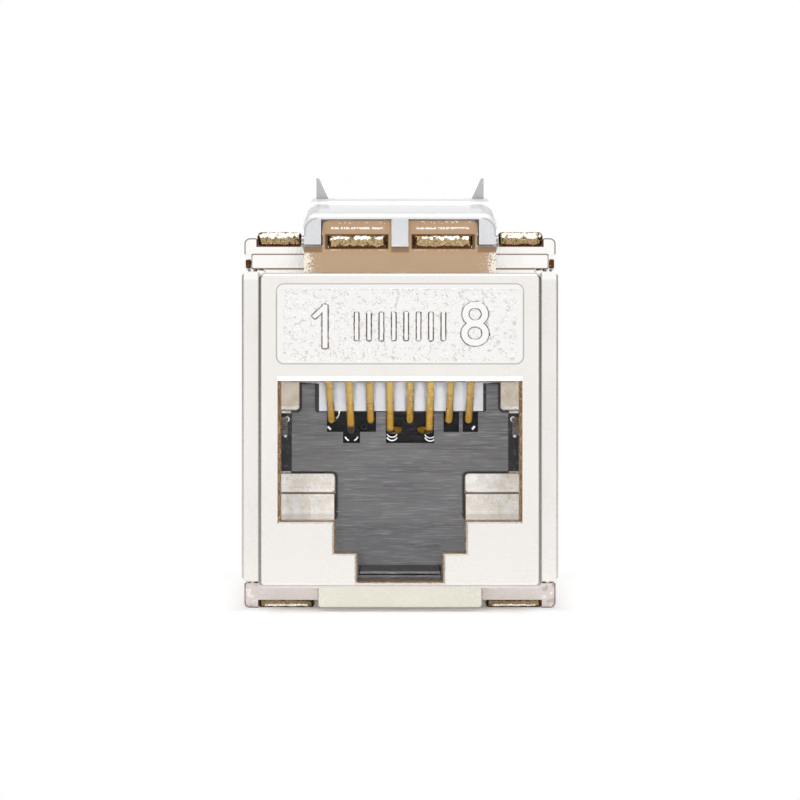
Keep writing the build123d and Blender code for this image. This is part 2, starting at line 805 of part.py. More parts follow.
# Terminal block that holds the blades, with a cross that parts the pairs at the rear
with BuildPart() as terminal_block:
    with BuildSketch(plan_plane(board_bottom)):
        span((-block_half_width, block_half_width), (block_front, block_rear))
    extrude(amount=board_top - board_bottom)
    rear_edges = terminal_block.faces().sort_by(Axis.Y)[-1].edges()
    chamfer(rear_edges, block_edge)
    with BuildSketch(front_plane(block_rear)):
        half_height = divider_height / 2
        upright = (collar_height - half_height, collar_height + half_height)
        bar = (collar_height - divider_half_width, collar_height + divider_half_width)
        span((-divider_half_width, divider_half_width), upright)
        span((block_edge - block_half_width, block_half_width - block_edge), bar)
    extrude(amount=-divider_length)
    with BuildSketch(front_plane(block_front)):
        tails = [height for number, x, shift, height in contact_row()]
        relief = (min(tails) - tail_room_margin, max(tails) + tail_room_margin)
        relief_side = contact_count * contact_pitch / 2
        span((-relief_side, relief_side), relief)
    extrude(amount=-tail_room_depth, mode=Mode.SUBTRACT)
    for depth, height in blade_places():
        root = blade_root - blade_tail_width - blade_clearance
        fork_front = depth - blade_width / 2 - blade_clearance
        fork_rear = depth + blade_width / 2 + blade_clearance
        seat_half_height = blade_thickness / 2 + blade_clearance
        with BuildSketch(plan_plane(height - seat_half_height)):
            both_sides((root, block_half_width), (fork_front, fork_rear))
            both_sides((root, blade_root + blade_clearance), (block_front, fork_rear))
        extrude(amount=2 * seat_half_height, mode=Mode.SUBTRACT)
save(terminal_block, "terminal_block")

# Circuit board, pierced for the contacts and slotted for the blades' tails
with BuildPart() as circuit_board:
    with BuildSketch(front_plane(board_front)):
        span((-board_half_width, board_half_width), (board_bottom, board_top))
        for number, x, shift, height in contact_row():
            with Locations((x + shift, height)):
                RegularPolygon(contact_hole, contact_sides, mode=Mode.SUBTRACT)
        for depth, height in blade_places():
            tail_half_height = blade_thickness / 2 + blade_clearance
            tail_inner = blade_root - blade_tail_width - blade_clearance
            tail_heights = (height - tail_half_height, height + tail_half_height)
            both_sides((tail_inner, blade_root + blade_clearance), tail_heights, Mode.SUBTRACT)
    extrude(amount=-board_thickness)
save(circuit_board, "circuit_board")

# Insert: it fills the core's pocket and closes the cavity through the window
with BuildPart() as contact_insert:
    with BuildSketch(front_plane(pocket_front)):
        insert_side = core_pocket_half_width - insert_clearance
        insert_low = core_pocket_bottom + insert_clearance
        insert_high = core_pocket_top - insert_clearance
        span((-insert_side, insert_side), (insert_low, insert_high))
    extrude(amount=-(board_front - pocket_front - insert_clearance))
    with BuildSketch(front_plane(insert_face)):
        insert_window(insert_clearance)
    extrude(amount=-(pocket_front - insert_face))
    with BuildSketch(front_plane(tongue_front)):
        tongue_side = clip_slot_width / 2 - insert_clearance
        tongue_low = clip_slot_bottom + insert_clearance
        span((-tongue_side, tongue_side), (tongue_low, tongue_low + tongue_thickness))
    extrude(amount=-(insert_face - tongue_front))

    # Pocket for the comb, the slots below it and the holes for the contacts
    with BuildSketch(front_plane(comb_front)):
        comb_outline(insert_clearance)
    extrude(amount=-(comb_thickness + insert_clearance), mode=Mode.SUBTRACT)
    with BuildSketch(front_plane(insert_face)):
        for start, end, drop in slots:
            span((start, end), (port_top - drop, slot_top))
    extrude(amount=-slot_depth, mode=Mode.SUBTRACT)
    with BuildSketch(front_plane(insert_face)):
        for number, x, shift, height in contact_row():
            with Locations((x + shift, height)):
                RegularPolygon(contact_hole, contact_sides)
    extrude(amount=-(board_front - insert_face), mode=Mode.SUBTRACT)
save(contact_insert, "contact_insert")

# Comb, with a groove behind each contact
with BuildPart() as contact_comb:
    with BuildSketch(front_plane(comb_front)):
        comb_outline()
    extrude(amount=-comb_thickness)
    with BuildSketch(front_plane(comb_front)):
        for number, x, shift, height in contact_row():
            half_groove = comb_groove_width / 2
            span((x - half_groove, x + half_groove), (comb_bottom, comb_top))
    extrude(amount=-comb_groove_depth, mode=Mode.SUBTRACT)
save(contact_comb, "contact_comb")

# Contacts
for number, x, shift, height in contact_row():
    with BuildPart() as contact:
        tail_end = board_rear + contact_tail
        points = [(x, contact_tip_depth, port_top + contact_tip_rise), (x, contact_low_depth, height)]
        if shift:
            points.append((x + shift, insert_face + contact_jog_depth, height))
        points.append((x + shift, tail_end, height))
        with BuildLine(Plane(origin=(0, front_y, 0))) as wire_path:
            FilletPolyline(*points, radius=contact_bend)
        with BuildSketch(Plane(origin=wire_path.line @ 0, z_dir=wire_path.line % 0)):
            RegularPolygon(contact_radius, contact_sides)
        sweep()
    save(contact, f"contact_{number}")

# Earth springs, bowed into the port
with BuildPart() as right_earth_spring:
    with BuildSketch(plan_plane(earth_top - earth_height)):
        seat = side_pocket_half_width - earth_seat
        inner = seat - earth_thickness
        middle = (earth_front + earth_rear) / 2
        with BuildLine():
            ThreePointArc((seat, earth_front), (seat - earth_bow, middle), (seat, earth_rear))
            Line((seat, earth_rear), (inner, earth_rear))
            ThreePointArc((inner, earth_rear), (inner - earth_bow, middle), (inner, earth_front))
            Line((inner, earth_front), (seat, earth_front))
        make_face()
    extrude(amount=earth_height)
save(right_earth_spring, "right_earth_spring")

with BuildPart() as left_earth_spring:
    mirror(right_earth_spring.part, about=Plane.YZ)
save(left_earth_spring, "left_earth_spring")

# Bracket: a sheet foot on the nose, a windowed front and two ears for the pin
with BuildPart() as latch_bracket:
    with BuildSketch(front_plane(bracket_front)) as bracket_profile:
        span((-bracket_half_width, bracket_half_width), (bracket_low, bracket_shoulder))
        span((-bracket_upper_half_width, bracket_upper_half_width), (bracket_shoulder, bracket_top))
        fillet(bracket_profile.vertices().group_by(Axis.Y)[-1], bracket_corner)
        both_sides((window_inner, window_outer), (window_bottom, window_top), Mode.SUBTRACT)
    extrude(amount=-bracket_sheet)
    with BuildSketch(plan_plane(bracket_low)):
        foot = (-bracket_half_width, bracket_half_width)
        span(foot, (bracket_front, bracket_foot_rear))
        post_room = (lug_inner - lug_gap, lug_outer + lug_gap)
        post_rear = bracket_front + bracket_sheet + 2 * lug_gap + lug_thickness
        both_sides(post_room, (bracket_front + bracket_sheet, post_rear), Mode.SUBTRACT)
    extrude(amount=bracket_sheet)
    ear_middle = bracket_upper_half_width - bracket_sheet / 2
    for side in (-1, 1):
        with BuildSketch(side_plane(side * ear_middle)) as ear_profile:
            span((bracket_front, bracket_ear_rear), (bracket_low, nose_top + bracket_ear_rise))
            ear_corner = ear_profile.vertices().sort_by(Axis.Y)[-2:].sort_by(Axis.X)[-1]
            fillet(ear_corner, bracket_corner)
            with Locations((pin_depth, pin_height)):
                Circle(pin_radius, mode=Mode.SUBTRACT)
        extrude(amount=bracket_sheet / 2, both=True)
save(latch_bracket, "latch_bracket")

with BuildPart() as latch_pin:
    with BuildSketch(side_plane(-pin_half_length)):
        with Locations((pin_depth, pin_height)):
            Circle(pin_radius)
    extrude(amount=2 * pin_half_length)
save(latch_pin, "latch_pin")

# Latch: ribbed front, tooth, notch for the panel, arm, and tail with two fins
with BuildPart() as latch:
    with BuildSketch(side_plane(-cheek_outer)):
        Polygon(
            (latch_front, skin_bottom),
            (latch_front, ramp_foot),
            (tooth_front, tooth_top),
            (tooth_rear, tooth_top),
            (tooth_rear, notch_floor),
            (shoulder_depth, notch_floor),
            (shoulder_depth, arm_shoulder_top),
            (arm_knee_depth, arm_knee_top),
            (tail_rise_depth, tail_rise_top),
            (tail_rise_depth, tail_under),
            (arm_knee_depth, arm_knee_under),
            (arm_web_depth, arm_web_under),
            (arm_web_depth - arm_web_under + notch_under, notch_under),
            (tooth_block_front, notch_under),
            (tooth_block_front + notch_under - skin_bottom, skin_bottom),
            align=None,
        )
    extrude(amount=2 * cheek_outer)
    for cheek_start in (-cheek_outer, cheek_inner):
        with BuildSketch(side_plane(cheek_start)):
            span((latch_front, cheek_rear), (cheek_bottom, ramp_foot))
            with Locations((pin_depth, pin_height)):
                Circle(boss_radius)
        extrude(amount=cheek_outer - cheek_inner)
    ramp = latch.faces().filter_by(lambda face: face.normal_at().Z > 0.9).sort_by(Axis.Y)[0]
    ramp_sides = ramp.edges().filter_by(Axis.X, reverse=True)
    fillet(ramp_sides, cheek_corner)
    with BuildSketch(front_plane(latch_front)):
        span((-rib_half_width, rib_half_width), (rib_bottom, ramp_foot - bracket_sheet))
    extrude(amount=-rib_thickness)

    # Tooth, a little wider than the arm
    with BuildSketch(front_plane(tooth_block_front)) as tooth_profile:
        span((-latch_half_width, latch_half_width), (notch_under, tooth_top))
        fillet(tooth_profile.vertices().group_by(Axis.Y)[-1], tooth_corner)
    extrude(amount=-(tooth_rear - tooth_block_front))

    # Tail pad with a fin along each side
    with BuildSketch(side_plane(-tail_half_width)) as tail_profile:
        Polygon(
            (tail_rise_depth, tail_under),
            (tail_rise_depth, tail_rise_top),
            (tail_crest_depth, tail_top),
            (tail_depth, tail_top),
            (tail_depth, tail_lip),
            align=None,
        )
        fillet(tail_profile.vertices().group_by(Axis.Y)[-1], tail_edge)
    extrude(amount=2 * tail_half_width)
    with BuildSketch(front_plane(fin_front)):
        for side in (-1, 1):
            Polygon(
                (side * tail_half_width, fin_base),
                (side * (tail_half_width - fin_base_width), fin_base),
                (side * (tail_half_width - fin_tip_width), tail_top),
                (side * tail_half_width, tail_top),
                align=None,
            )
    extrude(amount=-(fin_rear - fin_front))

    # Bore for the pin
    with BuildSketch(side_plane(-latch_half_width)):
        with Locations((pin_depth, pin_height)):
            Circle(pin_radius + pivot_clearance)
    extrude(amount=2 * latch_half_width, mode=Mode.SUBTRACT)
save(latch, "latch")

# Leaf spring: flat on the bracket's foot, then up to the underside of the arm
with BuildPart() as leaf_spring:
    seat_height = bracket_low + bracket_sheet + leaf_gap + leaf_sheet / 2
    arm_slope = (arm_knee_under - arm_web_under) / (arm_knee_depth - arm_web_depth)
    arm_height = arm_web_under + arm_slope * (leaf_rear - arm_web_depth)
    with BuildLine(side_plane()) as leaf_path:
        FilletPolyline(
            (leaf_front, seat_height),
            (leaf_bend_depth, seat_height),
            (leaf_rise_depth, seat_height + leaf_rise),
            (leaf_rear, arm_height - leaf_gap - leaf_sheet / 2),
            radius=leaf_bend,
        )
    with BuildSketch(Plane(origin=leaf_path.line @ 0, x_dir=(1, 0, 0), z_dir=leaf_path.line % 0)):
        Rectangle(2 * leaf_half_width, leaf_sheet)
    sweep()
save(leaf_spring, "leaf_spring")
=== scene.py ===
"""Looks of a shielded keystone jack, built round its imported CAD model.

The studio, the finishes and the small pieces that only the looks need are made here.
Sizes are in millimetres and are turned into metres where a mesh is made. X runs
across the jack, depth runs from the front face of the nose to the rear, Z is up.
"""

import json
import logging
import math
from dataclasses import dataclass
from enum import Enum

import bpy
from mathutils import Matrix, Vector


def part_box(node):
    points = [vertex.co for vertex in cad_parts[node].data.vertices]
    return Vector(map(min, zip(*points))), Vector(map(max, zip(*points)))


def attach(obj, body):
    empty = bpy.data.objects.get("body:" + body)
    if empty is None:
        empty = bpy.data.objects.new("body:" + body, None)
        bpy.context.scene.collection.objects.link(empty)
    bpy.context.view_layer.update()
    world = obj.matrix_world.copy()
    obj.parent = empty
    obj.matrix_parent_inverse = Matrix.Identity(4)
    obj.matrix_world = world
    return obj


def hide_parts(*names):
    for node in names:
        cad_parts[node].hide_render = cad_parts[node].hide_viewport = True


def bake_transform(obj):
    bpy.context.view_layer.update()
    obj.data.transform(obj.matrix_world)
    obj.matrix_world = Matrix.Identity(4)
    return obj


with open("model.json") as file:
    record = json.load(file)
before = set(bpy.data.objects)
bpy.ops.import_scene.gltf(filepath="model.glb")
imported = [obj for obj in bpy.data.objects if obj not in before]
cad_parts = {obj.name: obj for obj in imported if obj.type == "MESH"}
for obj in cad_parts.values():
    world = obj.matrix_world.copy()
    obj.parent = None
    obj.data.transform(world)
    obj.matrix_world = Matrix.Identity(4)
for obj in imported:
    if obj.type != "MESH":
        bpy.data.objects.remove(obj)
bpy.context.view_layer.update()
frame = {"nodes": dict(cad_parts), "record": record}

log = logging.getLogger("keystone_jack")

MM = 0.001
ROUND_ANGLE = 60.0  # degrees below which the edges of round pieces are smoothed
HAIR = 1e-6  # metres below which two places count as one
SIDES = ((-1, "left"), (1, "right"))
Colour = tuple[float, float, float]
Point = tuple[float, float, float]
Span = tuple[float, float]
Socket = bpy.types.NodeSocket
Piece = bpy.types.Object
Material = bpy.types.Material
Group = bpy.types.NodeTree


class Slot(Enum):
    """Material slots of the record."""

    CASTING = "plated_casting"
    WHITE = "white_plastic"
    BLACK = "black_plastic"
    BOARD = "green_board"
    LATCH = "clear_white_plastic"
    BRONZE = "bronze_sheet"
    PIN = "steel_pin"
    SPRING = "spring_steel"
    GOLD = "gold_plate"
    TIN = "tinned_blade"


class Body(Enum):
    """Bodies of the jack that new pieces are tied to."""

    HOUSING = "housing"
    LATCH = "latch_lever"


def front_y() -> float:
    """Place of the nose's front face along Y, in metres."""
    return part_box("front_housing")[0].y


def place(x: float, depth: float, z: float) -> Vector:
    """Turns a place on the jack into the shared frame.

    Args:
        x: Millimetres to the right of the middle.
        depth: Millimetres behind the front face.
        z: Millimetres above the surface that the jack stands on.

    Returns:
        The same place in metres.
    """
    return Vector((x * MM, front_y() + depth * MM, z * MM))


class Bench:
    """Hand tools for the meshes, each of which starts with nothing selected."""

    @staticmethod
    def clear() -> None:
        """Leaves edit mode and deselects everything."""
        if bpy.context.object is not None and bpy.context.object.mode != "OBJECT":
            bpy.ops.object.mode_set(mode="OBJECT")
        bpy.ops.object.select_all(action="DESELECT")

    @staticmethod
    def pick(piece: Piece) -> None:
        """Makes one piece the only selected and the active one.

        Args:
            piece: The piece to work on.
        """
        Bench.clear()
        piece.select_set(True)
        bpy.context.view_layer.objects.active = piece

    @staticmethod
    def named(name: str) -> Piece:
        """Names the new piece and its mesh, and puts its place into the mesh.

        Args:
            name: The name.

        Returns:
            The piece.
        """
        piece = bpy.context.object
        piece.name = name
        piece.data.name = name
        bpy.ops.object.transform_apply(location=True, rotation=True, scale=True)
        return piece

    @staticmethod
    def settle(piece: Piece, smooth_angle: float = 35.0) -> None:
        """Puts a piece's place into its mesh and smooths the edges less sharp than an angle.

        Args:
            piece: The piece to work on.
            smooth_angle: The angle in degrees.
        """
        Bench.pick(piece)
        bpy.ops.object.transform_apply(location=True, rotation=True, scale=True)
        bpy.ops.object.shade_smooth_by_angle(angle=math.radians(smooth_angle))

    @staticmethod
    def block(name: str, low: Point, high: Point) -> Piece:
        """A box between two corners, given as x, depth and z.

        Args:
            name: Name of the piece.
            low: Lowest corner.
            high: Highest corner.

        Returns:
            The box.
        """
        Bench.clear()
        start, end = place(*low), place(*high)
        bpy.ops.mesh.primitive_cube_add(size=1.0, location=(start + end) / 2, scale=end - start)
        return Bench.named(name)

    @staticmethod
    def modify(piece: Piece, kind: str, **settings: object) -> None:
        """Adds one modifier of Blender's with its own settings, and applies it at once.

        Args:
            piece: The piece to work on.
            kind: Blender's name for the kind of modifier.
            settings: Its settings by name.
        """
        Bench.pick(piece)
        modifier = piece.modifiers.new(kind.title(), kind)
        for name, value in settings.items():
            setattr(modifier, name, value)
        bpy.ops.object.modifier_apply(modifier=modifier.name)

    @staticmethod
    def round_edges(piece: Piece, radius: float, segments: int = 3) -> None:
        """Rounds every sharp edge of a piece by a radius."""
        Bench.modify(piece, "BEVEL", width=radius * MM, segments=segments, limit_method="ANGLE")

    @staticmethod
    def divide(piece: Piece, cuts: int) -> None:
        """Divides every face of a piece.

        Args:
            piece: The piece to work on.
            cuts: Number of cuts along each edge.
        """
        Bench.pick(piece)
        bpy.ops.object.mode_set(mode="EDIT")
        bpy.ops.mesh.select_all(action="SELECT")
        bpy.ops.mesh.subdivide(number_cuts=cuts)
        bpy.ops.object.mode_set(mode="OBJECT")

    @staticmethod
    def dress(piece: Piece, finish: Material, slot: Slot, smooth_angle: float = 35.0) -> None:
        """Settles a finished piece, gives it its material and lets it ride on the housing.

        Args:
            piece: The finished piece.
            finish: Its material.
            slot: Not used.
            smooth_angle: Angle in degrees below which its edges are smoothed.
        """
        Bench.settle(piece, smooth_angle)
        piece.data.materials.clear()
        piece.data.materials.append(finish)
        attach(piece, Body.HOUSING.value)
        log.info("%s: %d faces, rides on the housing", piece.name, len(piece.data.polygons))


class Tree:
    """A shader tree under construction."""

    def __init__(self, tree: Group) -> None:
        """Keeps the tree that nodes go into."""
        self.tree = tree

    def add(self, kind: str, label: str, **settings: object) -> bpy.types.Node:
        """Adds a labelled node and sets its options.

        Args:
            kind: Blender's name for the kind of node.
            label: What the node is for.
            settings: Its options by name.

        Returns:
            The node.
        """
        node = self.tree.nodes.new(kind)
        node.label = label
        for name, value in settings.items():
            setattr(node, name, value)
        return node

    def feed(self, target: Socket, source: object) -> None:
        """Links a socket, or sets it where the source is a plain value.

        Args:
            target: Input socket.
            source: A socket, a colour or a plain value.
        """
        if isinstance(source, Socket):
            self.tree.links.new(source, target)
        elif isinstance(source, tuple) and len(source) == 3 and target.type == "RGBA":
            target.default_value = (*source, 1.0)
        else:
            target.default_value = source

    def fill(self, node: bpy.types.Node, *sources: object) -> bpy.types.Node:
        """Feeds a node's first inputs in turn.

        Args:
            node: The node.
            sources: What each input takes, in order.

        Returns:
            The node.
        """
        for index, source in enumerate(sources):
            self.feed(node.inputs[index], source)
        return node

    def use(self, group: Group, label: str, **values: object) -> Socket:
        """Places a shared effect with its inputs by name and gives back its output.

        Args:
            group: The effect.
            label: What the node is for.
            values: Its inputs by name.

        Returns:
            Its output.
        """
        node = self.add("ShaderNodeGroup", label, node_tree=group)
        for name, value in values.items():
            self.feed(node.inputs[name], value)
        return node.outputs[0]

    def mix(self, label: str, share: object, first: object, second: object) -> Socket:
        """Blends two colours by a share.

        Args:
            label: What the node is for.
            share: Share of the second colour, from nought to one.
            first: Colour where the share is nought.
            second: Colour where the share is one.

        Returns:
            The blended colour.
        """
        node = self.add("ShaderNodeMix", label, data_type="RGBA")
        for index, source in ((0, share), (6, first), (7, second)):
            self.feed(node.inputs[index], source)
        return node.outputs[2]

    def math(self, label: str, operation: str, first: object, second: object = 0.0) -> Socket:
        """One step of arithmetic on two values."""
        return self.fill(self.add("ShaderNodeMath", label, operation=operation), first, second).outputs[0]

    def times(self, label: str, first: object, second: object) -> Socket:
        """The product of two values."""
        return self.math(label, "MULTIPLY", first, second)

    def spread(
        self, label: str, value: object, start: float, end: float, low: float = 0.0, high: float = 1.0
    ) -> Socket:
        """Maps one range of a value smoothly onto another."""
        node = self.add("ShaderNodeMapRange", label, interpolation_type="SMOOTHSTEP")
        return self.fill(node, value, start, end, low, high).outputs[0]

    def vector(self, label: str, operation: str, *sources: object) -> Socket:
        """One step of arithmetic on vectors."""
        node = self.fill(self.add("ShaderNodeVectorMath", label, operation=operation), *sources)
        return node.outputs["Value" if operation == "LENGTH" else "Vector"]

    def split(self, label: str, vector: object) -> bpy.types.bpy_prop_collection:
        """The three parts of a vector."""
        return self.fill(self.add("ShaderNodeSeparateXYZ", label), vector).outputs

    def join(self, label: str, *parts: object) -> Socket:
        """A vector from its three parts."""
        return self.fill(self.add("ShaderNodeCombineXYZ", label), *parts).outputs[0]

    def noise(self, label: str, vector: object, scale: object, detail: object) -> Socket:
        """Plain noise.

        Args:
            label: What the node is for.
            vector: Place to sample.
            scale: How fine it is.
            detail: How ragged it is.

        Returns:
            The noise's value.
        """
        node = self.add("ShaderNodeTexNoise", label)
        for name, source in (("Vector", vector), ("Scale", scale), ("Detail", detail)):
            self.feed(node.inputs[name], source)
        return node.outputs[0]


@dataclass(frozen=True)
class Effects:
    """Node groups that more than one finish uses."""

    zone: Group
    cloud: Group
    flecks: Group
    streaks: Group
    turned: Group
    wrinkles: Group
    rounded: Group

    @staticmethod
    def new_group(name: str, inputs: dict[str, object], output: str) -> tuple[Tree, dict, Socket]:
        """Starts a group with one output value.

        Args:
            name: Name of the group.
            inputs: Default of each input; a tuple makes a vector socket.
            output: Name of the output.

        Returns:
            The tree, its inputs by name and its output socket.
        """
        group = bpy.data.node_groups.new(name, "ShaderNodeTree")
        for label, value in inputs.items():
            kind = "NodeSocketVector" if isinstance(value, tuple) else "NodeSocketFloat"
            socket = group.interface.new_socket(label, in_out="INPUT", socket_type=kind)
            socket.default_value = value
        group.interface.new_socket(output, in_out="OUTPUT", socket_type="NodeSocketFloat")
        tree = Tree(group)
        entry = tree.add("NodeGroupInput", "in")
        leave = tree.add("NodeGroupOutput", "out")
        return tree, {label: entry.outputs[label] for label in inputs}, leave.inputs[output]

    @classmethod
    def build(cls) -> "Effects":
        """Makes every shared effect once."""
        makers = (cls.make_zone, cls.make_cloud, cls.make_flecks, cls.make_streaks)
        return cls(*(maker() for maker in (*makers, cls.make_turned, cls.make_wrinkles, cls.make_rounded)))

    @classmethod
    def make_zone(cls) -> Group:
        """A mask that is one inside a box with soft sides.

        Returns:
            The node group.
        """
        corners = {"Point": (0.0, 0.0, 0.0), "Low": (0.0, 0.0, 0.0), "High": (0.0, 0.0, 0.0)}
        tree, entry, leave = cls.new_group("zone_mask", {**corners, "Softness": 0.0001}, "Mask")
        above = tree.vector("from the low corner", "SUBTRACT", entry["Point"], entry["Low"])
        below = tree.vector("from the high corner", "SUBTRACT", entry["High"], entry["Point"])
        parts = tree.split("each axis", tree.vector("nearer side", "MINIMUM", above, below))
        level = tree.math("across or along", "MINIMUM", parts[0], parts[1])
        inside = tree.math("inside", "MINIMUM", level, parts[2])
        scaled = tree.math("in soft widths", "DIVIDE", inside, entry["Softness"])
        tree.feed(leave, tree.spread("soft side", scaled, -1.0, 1.0))
        return tree.tree

    @classmethod
    def make_cloud(cls) -> Group:
        """Soft unevenness from nought to one.

        Returns:
            The node group.
        """
        inputs = {"Point": (0.0, 0.0, 0.0), "Size": 0.001, "Detail": 2.0}
        tree, entry, leave = cls.new_group("cloudiness", inputs, "Value")
        scale = tree.math("per metre", "DIVIDE", 1.0, entry["Size"])
        noise = tree.noise("uneven", entry["Point"], scale, entry["Detail"])
        tree.feed(leave, tree.spread("stretched", noise, 0.3, 0.7))
        return tree.tree

    @classmethod
    def make_flecks(cls) -> Group:
        """Scattered ragged specks.

        Returns:
            The node group.
        """
        inputs = {"Point": (0.0, 0.0, 0.0), "Size": 0.0002, "Share": 0.3}
        tree, entry, leave = cls.new_group("ragged_flecks", inputs, "Mask")
        scale = tree.math("per metre", "DIVIDE", 1.0, entry["Size"])
        cells = tree.add("ShaderNodeTexVoronoi", "cells", feature="DISTANCE_TO_EDGE")
        tree.feed(cells.inputs["Vector"], entry["Point"])
        tree.feed(cells.inputs["Scale"], scale)
        noise = tree.noise("ragged", entry["Point"], scale, 4.0)
        near = tree.math("near a cell's rim", "SUBTRACT", noise, cells.outputs["Distance"])
        limit = tree.math("limit", "SUBTRACT", 0.62, entry["Share"])
        tree.feed(leave, tree.spread("specks", tree.math("over", "SUBTRACT", near, limit), 0.0, 0.08))
        return tree.tree

    @classmethod
    def make_streaks(cls) -> Group:
        """Fine lines along X.

        Returns:
            The node group.
        """
        inputs = {"Point": (0.0, 0.0, 0.0), "Length": 0.004, "Width": 0.0001}
        tree, entry, leave = cls.new_group("fine_streaks", inputs, "Value")
        along = tree.math("along", "DIVIDE", 1.0, entry["Length"])
        across = tree.math("across", "DIVIDE", 1.0, entry["Width"])
        scale = tree.join("stretch", along, along, across)
        stretched = tree.vector("stretched point", "MULTIPLY", entry["Point"], scale)
        tree.feed(leave, tree.spread("sharper", tree.noise("lines", stretched, 1.0, 3.0), 0.3, 0.7))
        return tree.tree

    @classmethod
    def make_turned(cls) -> Group:
        """A mask for rounded edges, which face neither the front nor a side.

        Returns:
            The node group.
        """
        tree, entry, leave = cls.new_group("turned_edge", {"Direction": (0.0, 0.0, 1.0)}, "Mask")
        parts = tree.split("each axis", entry["Direction"])
        facing = tree.math("faces along the jack", "ABSOLUTE", parts[1])
        leaves_front = tree.spread("leaves the front", facing, 0.99, 0.88)
        meets_side = tree.spread("meets the side", facing, 0.1, 0.4)
        level = tree.math("faces up or down", "ABSOLUTE", parts[2])
        share = tree.spread("fainter on level edges", level, 0.3, 0.7, 1.0, 0.4)
        tree.feed(leave, tree.times("weighed", tree.times("edge", leaves_front, meets_side), share))
        return tree.tree

    @classmethod
    def make_wrinkles(cls) -> Group:
        """Short thin curved lines, as on a stippled casting.

        Returns:
            The node group.
        """
        inputs = {"Point": (0.0, 0.0, 0.0), "Size": 0.0003, "Width": 0.05}
        tree, entry, leave = cls.new_group("short_wrinkles", inputs, "Mask")
        scale = tree.math("per metre", "DIVIDE", 1.0, entry["Size"])
        folds = tree.noise("folds", entry["Point"], scale, 1.0)
        level = tree.math("from the middle level", "SUBTRACT", folds, 0.5)
        line = tree.spread("thin line", tree.math("either way", "ABSOLUTE", level), entry["Width"], 0.0)
        patches = tree.noise("patches", entry["Point"], tree.times("wider", scale, 0.8), 2.0)
        tree.feed(leave, tree.times("short lines", line, tree.spread("broken up", patches, 0.46, 0.56)))
        return tree.tree

    @classmethod
    def make_rounded(cls) -> Group:
        """Distance in metres to a rounded rectangle seen from the front, less than nought inside.

        Returns:
            The node group.
        """
        inputs = {"Point": (0.0,) * 3, "Middle": (0.0,) * 3, "Core": (0.001, 1.0, 0.001), "Radius": 0.0}
        tree, entry, leave = cls.new_group("rounded_rectangle", inputs, "Distance")
        away = tree.vector("from the middle", "SUBTRACT", entry["Point"], entry["Middle"])
        folded = tree.vector("either way", "ABSOLUTE", away)
        parts = tree.split("each axis", tree.vector("beyond the core", "SUBTRACT", folded, entry["Core"]))
        across = tree.math("across", "MAXIMUM", parts[0], 0.0)
        upwards = tree.math("upwards", "MAXIMUM", parts[2], 0.0)
        outside = tree.vector("outside", "LENGTH", tree.join("outside part", across, 0.0, upwards))
        nearer = tree.math("nearer side", "MAXIMUM", parts[0], parts[2])
        inner = tree.math("inside distance", "MINIMUM", nearer, 0.0)
        whole = tree.math("from the core", "ADD", outside, inner)
        tree.feed(leave, tree.math("from the rim", "SUBTRACT", whole, entry["Radius"]))
        return tree.tree


@dataclass(frozen=True)
class EdgeLine:
    """A thin dark line round a rounded rectangle, on a span of depths, in millimetres."""

    label: str
    middle: Span
    half: Span
    corner: float
    depths: Span
    width: float = 0.05
    strength: float = 0.7


@dataclass(frozen=True)
class Box:
    """A box with soft sides: two corners as x, depth and z, and half a soft side's width."""

    label: str
    low: Point
    high: Point
    soft: float = 0.02


@dataclass(frozen=True)
class Coat(Box):
    """A box that takes one colour."""

    colour: Colour = (0.5, 0.5, 0.5)


